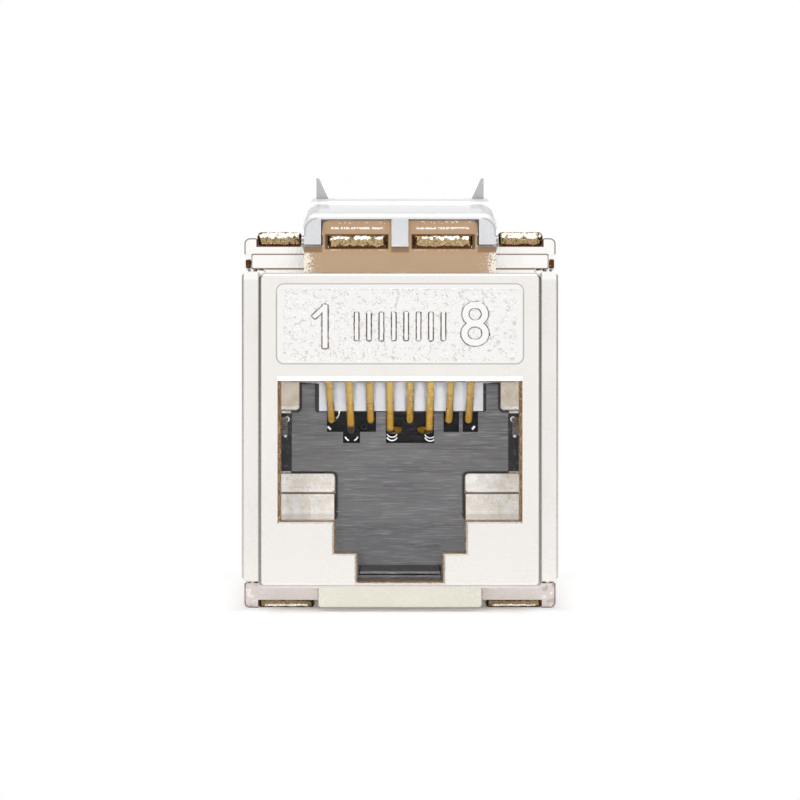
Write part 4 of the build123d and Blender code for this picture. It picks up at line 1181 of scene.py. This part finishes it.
@dataclass
class Studio:
    """Camera, floor, world and lamps."""

    effects: Effects
    camera_distance: float = 161.0
    camera_height: float = 11.02
    lens: float = 144.9
    floor_half_size: float = 900.0
    floor_colour: Colour = (0.96, 0.96, 0.96)
    floor_roughness: float = 0.9
    shadow_reach: float = 42.0
    shadow_start: float = 0.55
    card_from: float = 0.72
    card_to: float = 0.93
    side_dark: float = 0.3
    dome: float = 0.42
    top_spot: Point = (0.0, -190.0, 330.0)
    top_size: Span = (300.0, 110.0)
    top_power: float = 0.42
    top_aim: Point = (0.0, 10.0, 12.0)
    fill_power: float = 0.26
    fill_size: float = 12.0
    beam_spot: Point = (0.0, -40.0, 6.0)
    beam_size: Span = (8.0, 4.0)
    beam_power: float = 0.00021
    beam_aim: Point = (0.0, 13.0, 9.0)
    beam_spread: float = 30.0
    # glow of the floor seen by the camera and in reflections; it is left out under the jack
    floor_lift: float = 0.42
    under: Box = Box("under the jack", (-7.6, 8.6, -1.0), (7.6, 32.0, 1.0), 3.5)

    def build(self) -> None:
        """Sets up the whole studio, where reflections show neither lamp that faces the port."""
        bpy.context.scene.view_settings.view_transform = "Standard"
        self.add_camera()
        self.add_floor()
        self.light_world()
        self.add_lamp("top_softbox", self.top_spot, self.top_aim, self.top_size, self.top_power)
        spot = (0.0, -self.camera_distance, self.camera_height)
        level = (0.0, 0.0, self.camera_height)
        fill = self.add_lamp("port_fill", spot, level, (self.fill_size, self.fill_size), self.fill_power)
        fill.data.shape = "DISK"
        beam = self.add_lamp("port_beam", self.beam_spot, self.beam_aim, self.beam_size, self.beam_power)
        beam.data.spread = math.radians(self.beam_spread)
        for lamp in (fill, beam):
            lamp.visible_glossy = False
            lamp.visible_camera = False

    def add_camera(self) -> None:
        """Puts the camera on the jack's axis, as in the photograph."""
        data = bpy.data.cameras.new("photo_camera")
        data.lens = self.lens
        data.sensor_width = 36.0
        data.clip_start = 0.01
        data.clip_end = 20.0
        camera = bpy.data.objects.new("photo_camera", data)
        camera.location = place(0.0, -self.camera_distance, self.camera_height)
        camera.rotation_euler = (math.radians(90.0), 0.0, 0.0)
        bpy.context.scene.collection.objects.link(camera)
        bpy.context.scene.camera = camera

    def add_floor(self) -> None:
        """A white floor that glows for the camera and in reflections, but not under the jack, so that the
        shade there is deepened by painting.
        """
        Bench.clear()
        bpy.ops.mesh.primitive_plane_add(size=2 * self.floor_half_size * MM, location=(0.0, 0.0, 0.0))
        floor = bpy.context.object
        floor.name = "floor"
        paint = Finish(self.effects, "floor_white", self.floor_colour, self.floor_roughness).start()
        tree = paint.tree
        paint.shader.inputs["Specular IOR Level"].default_value = 0.0
        glow = tree.add("ShaderNodeEmission", "white beyond the shadow")
        reach, edge = tree.vector("distance", "LENGTH", paint.point), self.shadow_reach * MM
        far = tree.spread("beyond the shadow", reach, self.shadow_start * edge, edge)
        ray = tree.add("ShaderNodeLightPath", "kind of ray")
        shown = tree.math("seen", "MAXIMUM", ray.outputs["Is Camera Ray"], ray.outputs["Is Glossy Ray"])
        # no glow under the jack: painted deeper shade there
        clear = tree.math("clear of the jack", "SUBTRACT", 1.0, paint.zone(self.under))
        lift = tree.times("lifted", tree.times("seen and clear", shown, clear), self.floor_lift)
        tree.feed(paint.shader.inputs["Emission Color"], (1.0, 1.0, 1.0))
        tree.feed(paint.shader.inputs["Emission Strength"], lift)
        blend = tree.add("ShaderNodeMixShader", "floor")
        tree.fill(blend, far, paint.shader.outputs[0], glow.outputs[0])
        output = paint.material.node_tree.nodes["Material Output"]
        tree.feed(output.inputs["Surface"], blend.outputs[0])
        floor.data.materials.append(paint.material)

    def light_world(self) -> None:
        """An even white dome, with darker sides that only reflections show."""
        world = bpy.data.worlds.new("studio_world")
        bpy.context.scene.world = world
        world.use_nodes = True
        tree = Tree(world.node_tree)
        ray = tree.add("ShaderNodeLightPath", "kind of ray").outputs
        way = tree.add("ShaderNodeTexCoord", "direction").outputs["Generated"]
        side = tree.math("sideways", "ABSOLUTE", tree.split("each axis", way)[0])
        cards = tree.spread("side cards", side, self.card_from, self.card_to, 1.0, self.side_dark)
        mirrored = tree.mix("seen in metal", ray["Is Glossy Ray"], (self.dome,) * 3, cards)
        shown = tree.math("seen directly", "MAXIMUM", ray["Is Camera Ray"], ray["Is Transmission Ray"])
        white = tree.mix("white background", shown, mirrored, (1.0, 1.0, 1.0))
        tree.feed(world.node_tree.nodes["Background"].inputs["Color"], white)

    def add_lamp(self, name: str, spot: Point, aim: Point, size: Span, power: float) -> Piece:
        """Adds a soft lamp.

        Args:
            name: Name of the lamp.
            spot: Its place as x, depth and z in millimetres.
            aim: Where it points.
            size: Its width and height in millimetres.
            power: Its power in watts.

        Returns:
            The lamp.
        """
        data = bpy.data.lights.new(name, "AREA")
        data.shape = "RECTANGLE"
        data.size = size[0] * MM
        data.size_y = size[1] * MM
        data.energy = power
        lamp = bpy.data.objects.new(name, data)
        lamp.location = place(*spot)
        lamp.rotation_euler = (place(*aim) - lamp.location).to_track_quat("-Z", "Y").to_euler()
        bpy.context.scene.collection.objects.link(lamp)
        return lamp


@dataclass
class Dressing:
    """Gives the CAD nodes their finishes."""

    effects: Effects
    gold_tones: tuple[Coat, ...] = (
        Coat("redder below", (-5.0, 8.0, 8.0), (5.0, 22.0, 10.5), 0.45, (1.0, 0.56, 0.055)),
        # painted shade: the lower ends of contacts 2, 4 and 6 darkened where they sink into the slots
        Coat("end of contact 2", (-3.0, 8.0, 8.0), (-2.2, 22.0, 9.62), 0.1, (0.09, 0.05, 0.02)),
        Coat("end of contact 4", (-0.85, 8.0, 8.0), (-0.28, 22.0, 9.42), 0.1, (0.09, 0.05, 0.02)),
        Coat("end of contact 6", (1.3, 8.0, 8.0), (1.9, 22.0, 9.42), 0.1, (0.09, 0.05, 0.02)),
    )

    def finishes(self) -> dict[Slot, Material]:
        """Builds one material for each slot of the record.

        Returns:
            The materials by slot.
        """
        rows = {
            Slot.CASTING: (PlatedCasting, (0.90, 0.872, 0.838), 0.22, 1.0),
            Slot.WHITE: (MouldedPlastic, (0.60, 0.61, 0.645), 0.45),
            Slot.BLACK: (InsertPlastic, (0.135, 0.135, 0.14), 0.42),
            Slot.BOARD: (MouldedPlastic, (0.03, 0.16, 0.07), 0.35),
            Slot.LATCH: (ClearWhitePlastic, (0.43, 0.435, 0.44), 0.35),
            Slot.BRONZE: (BracketBronze, (0.47, 0.315, 0.195), 0.36, 0.85),
            Slot.PIN: (RolledMetal, (0.42, 0.41, 0.43), 0.3, 1.0),
            Slot.SPRING: (RolledMetal, (0.6, 0.59, 0.57), 0.25, 1.0),
            Slot.GOLD: (RolledMetal, (1.0, 0.64, 0.18), 0.28, 0.1, self.gold_tones, 3.0, 0.5, 0.0002),
            Slot.TIN: (RolledMetal, (0.66, 0.66, 0.64), 0.3, 1.0),
        }
        return {slot: kind(self.effects, slot.value, *row).build() for slot, (kind, *row) in rows.items()}

    def apply(self, finishes: dict[Slot, Material]) -> None:
        """Assigns each CAD node the material of its slot, and the hidden stuffers a whiter one.

        Args:
            finishes: The materials by slot.
        """
        slots = {part["node"]: part["material_slot"] for part in frame["record"]["subparts"]}
        whiter = MouldedPlastic(self.effects, "stuffer_white", (0.84, 0.85, 0.87), 0.45).build()
        for name, node in frame["nodes"].items():
            material = whiter if name.endswith("_stuffer") else finishes[Slot(slots[name])]
            node.data.materials.clear()
            node.data.materials.append(material)
            log.info("%s: %s", name, material.name)


@dataclass
class SignField:
    """Raised number signs on the sunk field above the port."""

    middle_z: float = 14.7
    digit_height: float = 2.3
    digit_reach: float = 3.75
    stroke: float = 0.38
    flag_length: float = 0.62
    flag_turn: float = -48.0
    flag_share: float = 0.9
    flag_overlap: float = 0.4
    flag_drop: float = 0.45
    flag_lift: float = 0.002
    text_share: float = 1.36
    text_offset: float = -0.02
    rib_count: int = 8
    rib_pitch: float = 0.62
    rib_width: float = 0.3
    rib_height: float = 1.5
    floor_depth: float = 0.15
    proud_depth: float = 0.005
    edge: float = 0.1
    edge_steps: int = 5

    def build(self, finish: Material) -> None:
        """Makes the two digits and the ribs between them.

        Args:
            finish: Material of the signs.
        """
        self.add_one(finish)
        self.add_eight(finish)
        self.add_ribs(finish)

    def bar(self, name: str, x: float, width: float, height: float) -> Piece:
        """An upright bar with rounded edges that stands on the field's floor.

        Args:
            name: Name of the piece.
            x: Millimetres from the middle to the bar's centre.
            width: Its width in millimetres.
            height: Its height in millimetres.

        Returns:
            The bar.
        """
        low = (x - width / 2, self.proud_depth, self.middle_z - height / 2)
        high = (x + width / 2, self.floor_depth + self.edge, self.middle_z + height / 2)
        bar = Bench.block(name, low, high)
        Bench.round_edges(bar, self.edge, self.edge_steps)
        return bar

    def add_one(self, finish: Material) -> None:
        """Raises a one: an upright bar with a slanted flag at its head.

        Args:
            finish: Material of the piece.
        """
        stem = self.bar("sign_digit_1", -self.digit_reach, self.stroke, self.digit_height)
        length = self.flag_length + self.stroke
        flag = self.bar("sign_flag", -self.digit_reach, self.stroke * self.flag_share, length)
        Bench.pick(flag)
        reach = length / 2 - self.flag_overlap * self.stroke
        turn = math.radians(self.flag_turn)
        top = self.digit_height / 2 - self.flag_drop * self.stroke - reach * math.cos(turn)
        centre = place(-self.digit_reach, 0.0, self.middle_z)
        bpy.ops.transform.rotate(value=turn, orient_axis="Y", center_override=centre)
        bpy.ops.transform.translate(value=(reach * math.sin(turn) * MM, self.flag_lift * MM, top * MM))
        Bench.settle(flag)
        Bench.pick(stem)
        flag.select_set(True)
        bpy.ops.object.join()
        Bench.dress(stem, finish, Slot.CASTING)

    def add_eight(self, finish: Material) -> None:
        """Raises an eight.

        Args:
            finish: Material of the piece.
        """
        Bench.clear()
        bpy.ops.object.text_add(location=(0.0, 0.0, 0.0))
        text = bpy.context.object
        text.name = "sign_digit_8"
        text.data.body = "8"
        text.data.align_x = "CENTER"
        text.data.align_y = "CENTER"
        text.data.size = self.digit_height * self.text_share * MM
        text.data.bevel_depth = (self.floor_depth - self.proud_depth) / 2 * MM
        text.data.bevel_resolution = 4
        text.data.offset = self.text_offset * MM
        bpy.ops.object.convert(target="MESH")
        piece = bpy.context.object
        piece.name = "sign_digit_8"
        middle = place(self.digit_reach, (self.floor_depth + self.proud_depth) / 2, self.middle_z)
        piece.matrix_world = Matrix.Translation(middle) @ Matrix.Rotation(math.radians(90.0), 4, "X")
        bpy.context.view_layer.update()
        Bench.dress(piece, finish, Slot.CASTING)

    def add_ribs(self, finish: Material) -> None:
        """Raises a row of short upright ribs, one for each contact.

        Args:
            finish: Material of the piece.
        """
        start = -self.rib_pitch * (self.rib_count - 1) / 2
        rib = self.bar("sign_ribs", start, self.rib_width, self.rib_height)
        Bench.modify(
            rib,
            "ARRAY",
            count=self.rib_count,
            use_relative_offset=False,
            use_constant_offset=True,
            constant_offset_displace=(self.rib_pitch * MM, 0.0, 0.0),
        )
        Bench.dress(rib, finish, Slot.CASTING)


@dataclass(frozen=True)
class LumpShape:
    """Limits and rounding of one lumpy skin, in millimetres from the middle."""

    word: str
    across: Span
    depth: Span
    height: Span
    rounding: float


@dataclass
class CastLumps:
    """Lumpy gold-toned skins on the cast lugs, pads and skids, and dark skins standing for shade in the
    shoulder's corners.
    """

    roughness: float = 0.05
    lump_size: float = 0.26
    mid_level: float = 0.9
    cuts: int = 6
    edge_steps: int = 4
    shapes: tuple[LumpShape, ...] = (
        LumpShape("lug_skin", (0.68, 3.66), (2.36, 2.8), (18.75, 19.4), 0.17),
        LumpShape("pad_skin", (5.2, 7.62), (10.38, 16.2), (19.16, 19.99), 0.26),
        LumpShape("skid_skin", (4.56, 7.5), (10.2, 10.9), (0.0, 0.46), 0.15),
        # dark skin standing for shade in the recess of the shoulder's corner
        LumpShape("corner_shade_skin", (7.89, 8.2), (9.68, 9.98), (17.98, 18.5), 0.1),
    )

    def build(self, gold: Material) -> None:
        """Makes a skin over each lump of the casting, on both sides.

        Args:
            gold: Material of the skins.
        """
        for side, word in SIDES:
            for shape in self.shapes:
                self.add_lump(f"{word}_{shape.word}", side, shape, gold)

    def add_lump(self, name: str, side: int, shape: LumpShape, finish: Material) -> None:
        """Makes one lumpy skin.

        Args:
            name: Name of the piece.
            side: -1 for the left, 1 for the right.
            shape: Its limits and rounding.
            finish: Its material.
        """
        across = sorted(side * reach for reach in shape.across)
        skin = Bench.block(name, *zip(across, shape.depth, shape.height))
        Bench.round_edges(skin, shape.rounding, self.edge_steps)
        Bench.divide(skin, self.cuts)
        texture = bpy.data.textures.new(f"{name}_lumps", "CLOUDS")
        texture.noise_scale = self.lump_size * MM
        strength, level = self.roughness * MM, self.mid_level
        Bench.modify(
            skin, "DISPLACE", texture=texture, strength=strength, mid_level=level, texture_coords="GLOBAL"
        )
        Bench.dress(skin, finish, Slot.GOLD, ROUND_ANGLE)


@dataclass(frozen=True)
class ArcShape:
    """A bent round wire seen from the front: its centre, radius, start, sweep and thickness."""

    centre: Span
    radius: float
    start: float
    sweep: float
    wire: float

    def at(self, angle: float, depth: float) -> Point:
        """The place on the arc at an angle in degrees.

        Args:
            angle: The angle, from the right and upwards.
            depth: Millimetres behind the front face.

        Returns:
            The place as x, depth and z.
        """
        turn = math.radians(angle)
        x, z = self.centre
        return x + self.radius * math.cos(turn), depth, z + self.radius * math.sin(turn)

    def flipped(self) -> "ArcShape":
        """The same arc on the other side of the middle."""
        start = 180.0 - self.start - self.sweep
        return ArcShape((-self.centre[0], self.centre[1]), self.radius, start, self.sweep, self.wire)


@dataclass
class PortTrim:
    """Black cheeks beside the insert, partly its sides and partly shade, black shade strips in the comb's
    side gaps, and white wire arcs in the slots and on the spring ends as painted highlights.
    """

    # black cheeks, partly the insert's sides and partly standing for shade in the side windows
    cheek_across: Span = (5.86, 6.55)
    cheek_depth: Span = (13.2, 13.4)
    cheek_height: Span = (7.16, 10.3)
    gap_depth: Span = (13.3, 13.5)
    gap_height: Span = (10.42, 11.9)
    # black strips standing for shade in the gaps beside the comb
    gaps: tuple[tuple[str, Span], ...] = (
        ("left_comb_gap_shade", (-4.6, -4.38)),
        ("right_comb_gap_shade", (4.5, 4.67)),
    )
    strip_edge: float = 0.01
    guide_depth: float = 13.62
    slot_floor: float = 16.12
    post: float = 0.03
    post_sides: int = 32
    wire_sides: int = 10
    wire_steps: int = 14
    # white arcs standing for painted highlights on the slots' curved rims
    highlight_arcs: tuple[ArcShape, ...] = (
        ArcShape((-0.43, 9.3), 0.3, 205.0, 130.0, 0.03),
        ArcShape((-0.43, 9.12), 0.3, 205.0, 130.0, 0.038),
        ArcShape((1.64, 9.28), 0.32, 205.0, 130.0, 0.03),
        ArcShape((1.64, 9.12), 0.32, 205.0, 130.0, 0.038),
        ArcShape((-2.63, 9.15), 0.36, 200.0, 45.0, 0.04),
        ArcShape((-2.63, 9.15), 0.36, 295.0, 45.0, 0.04),
        ArcShape((-3.62, 9.70), 0.3, 200.0, 45.0, 0.06),
        ArcShape((3.76, 9.68), 0.28, 300.0, 45.0, 0.06),
        ArcShape((-3.75, 10.35), 0.45, -45.0, 55.0, 0.03),
    )
    rings: tuple[ArcShape, ...] = (
        ArcShape((-1.95, 9.58), 0.15, 0.0, 359.0, 0.05),
        ArcShape((0.55, 10.2), 0.5, 215.0, 110.0, 0.05),
        ArcShape((-1.95, 9.75), 0.5, 160.0, 80.0, 0.04),
    )
    curl_depth: float = 13.18
    # spring ends in white, a painted highlight
    curls: tuple[ArcShape, ...] = (
        ArcShape((6.12, 9.98), 0.12, 60.0, 240.0, 0.035),
        ArcShape((6.2, 9.08), 0.05, 0.0, 359.0, 0.045),
    )

    def build(self, gloss: Material, bright: Material) -> None:
        """Makes the cheeks, the shade strips beside the comb, the white highlight arcs and the spring ends.

        Args:
            gloss: Material of the dark pieces.
            bright: White material of the highlight arcs and spring ends, a painted highlight.
        """
        for side, word in SIDES:
            across = sorted(side * reach for reach in self.cheek_across)
            self.add_strip(f"{word}_port_cheek", across, self.cheek_depth, self.cheek_height, gloss)
            for number, curl in enumerate(self.curls, 1):
                turned = curl if side > 0 else curl.flipped()
                self.add_arc(f"{word}_spring_end_{number}", turned, self.curl_depth, bright)
        for name, across in self.gaps:
            self.add_strip(name, across, self.gap_depth, self.gap_height, gloss)
        for kind, stand, arcs, finish in (
            ("highlight_wire", "guide_post", self.highlight_arcs, bright),
            ("slot_ring", "ring_post", self.rings, gloss),
        ):
            for number, arc in enumerate(arcs, 1):
                self.add_arc(f"{kind}_{number}", arc, self.guide_depth, finish)
                self.add_post(f"{stand}_{number}", arc, gloss)

    def add_post(self, name: str, arc: ArcShape, finish: Material) -> None:
        """Stands a thin post on the slot's floor to carry the middle of an arc.

        Args:
            name: Name of the piece.
            arc: The wire that it carries.
            finish: Material of the piece.
        """
        length = self.slot_floor - self.guide_depth
        middle = arc.at(arc.start + arc.sweep / 2, self.guide_depth + length / 2)
        Bench.clear()
        bpy.ops.mesh.primitive_cylinder_add(
            vertices=self.post_sides,
            radius=self.post * MM,
            depth=length * MM,
            location=place(*middle),
            rotation=(math.radians(90.0), 0.0, 0.0),
        )
        Bench.dress(Bench.named(name), finish, Slot.BLACK)

    def add_strip(self, name: str, across: Span, depth: Span, height: Span, finish: Material) -> None:
        """Makes a thin upright strip with broken edges.

        Args:
            name: Name of the piece.
            across: Its left and right side.
            depth: Its front and rear.
            height: Its lower and upper end.
            finish: Material of the piece.
        """
        strip = Bench.block(name, *zip(across, depth, height))
        Bench.round_edges(strip, self.strip_edge, 1)
        Bench.dress(strip, finish, Slot.BLACK)

    def add_arc(self, name: str, arc: ArcShape, depth: float, finish: Material) -> None:
        """Spins a small disc into a bent wire.

        Args:
            name: Name of the piece.
            arc: Its shape.
            depth: Its place behind the front face.
            finish: Its material.
        """
        Bench.clear()
        bpy.ops.mesh.primitive_circle_add(
            vertices=self.wire_sides,
            radius=arc.wire * MM,
            fill_type="NGON",
            location=place(*arc.at(arc.start, depth)),
            rotation=(0.0, -math.radians(arc.start), 0.0),
        )
        wire = Bench.named(name)
        centre = place(arc.centre[0], depth, arc.centre[1])
        bpy.ops.object.mode_set(mode="EDIT")
        bpy.ops.mesh.select_all(action="SELECT")
        bpy.ops.mesh.spin(
            steps=self.wire_steps, angle=math.radians(arc.sweep), center=centre, axis=(0.0, 1.0, 0.0)
        )
        bpy.ops.mesh.select_all(action="SELECT")
        bpy.ops.mesh.remove_doubles(threshold=HAIR)
        bpy.ops.mesh.fill_holes(sides=0)
        bpy.ops.mesh.normals_make_consistent(inside=False)
        bpy.ops.object.mode_set(mode="OBJECT")
        Bench.dress(wire, finish, Slot.WHITE, ROUND_ANGLE)


@dataclass
class LatchLeaf:
    """Leaf spring under the latch's arm."""

    half_width: float = 2.4
    sheet: float = 0.2
    edge: float = 0.04
    path: tuple[Span, ...] = (
        (5.0, 17.81),
        (6.0, 17.81),
        (6.8, 17.82),
        (7.3, 17.93),
        (8.1, 18.44),
        (8.9, 18.95),
        (9.5, 19.23),
    )
    tip_depth: float = 13.4
    seat_depth: float = 7.2
    blend_height: float = 18.0
    smooth_angle: float = 50.0

    def build(self, finish: Material) -> None:
        """Bends a strip along the leaf's path and thickens it.

        Args:
            finish: Material of the leaf.
        """
        tip_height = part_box("leaf_spring")[1].z / MM - self.sheet
        first, second, *others = self.path
        Bench.clear()
        bpy.ops.mesh.primitive_plane_add(size=1.0, location=(0.0, 0.0, 0.0))
        leaf = bpy.context.object
        leaf.scale = (2 * self.half_width * MM, (second[0] - first[0]) * MM, 1.0)
        leaf.location = place(0.0, (first[0] + second[0]) / 2, first[1])
        Bench.named("latch_leaf")
        for here, there in zip(self.path[1:], (*others, (self.tip_depth, tip_height))):
            self.extend(leaf, there[0] - here[0], there[1] - here[1])
        Bench.modify(leaf, "SOLIDIFY", thickness=self.sheet * MM, offset=0.0)
        Bench.round_edges(leaf, self.edge, 2)
        Bench.modify(leaf, "SUBSURF", levels=1, render_levels=1, subdivision_type="SIMPLE")
        Bench.settle(leaf, self.smooth_angle)
        leaf.data.materials.append(finish)
        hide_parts("leaf_spring")
        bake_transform(leaf)
        log.info("%s: %d faces, bends with the latch", leaf.name, len(leaf.data.polygons))

    @staticmethod
    def extend(leaf: Piece, along: float, up: float) -> None:
        """Extrudes the leaf's rear edge by a step along the jack and upwards, in millimetres.

        Args:
            leaf: The leaf.
            along: Step to the rear.
            up: Step upwards.
        """
        Bench.pick(leaf)
        mesh = leaf.data
        rear = max(vertex.co.y for vertex in mesh.vertices) - HAIR
        for face in mesh.polygons:
            face.select = False
        for edge in mesh.edges:
            edge.select = min(mesh.vertices[index].co.y for index in edge.vertices) > rear
        for vertex in mesh.vertices:
            vertex.select = vertex.co.y > rear
        bpy.ops.object.mode_set(mode="EDIT")
        bpy.ops.mesh.select_mode(type="EDGE")
        bpy.ops.mesh.extrude_region_move(TRANSFORM_OT_translate={"value": (0.0, along * MM, up * MM)})
        bpy.ops.object.mode_set(mode="OBJECT")


def main() -> None:
    """Builds the studio, the finishes and every extra piece."""
    logging.basicConfig(level=logging.INFO, format="%(name)s: %(message)s")
    effects = Effects.build()
    Studio(effects).build()
    dressing = Dressing(effects)
    finishes = dressing.finishes()
    dressing.apply(finishes)
    # gold tone standing for a painted warm reflection on rough nickel
    rough_gold = RoughGold(effects, "rough_gold", (0.33, 0.22, 0.11), 0.25, 1.0).build()
    SignField().build(RaisedSign(effects, "raised_sign", (0.96, 0.95, 0.94), 0.2, 1.0).build())
    CastLumps().build(rough_gold)
    gloss = MouldedPlastic(effects, "gloss_black", (0.02, 0.02, 0.022), 0.2, grain_height=0.001).build()
    # white for the painted highlights in the slots and on the spring ends
    bright = MouldedPlastic(effects, "highlight_white", (0.95, 0.95, 0.95), 0.2, grain_height=0.001).build()
    PortTrim().build(gloss, bright)
    LatchLeaf().build(finishes[Slot.SPRING])


if __name__ == "__main__":
    main()
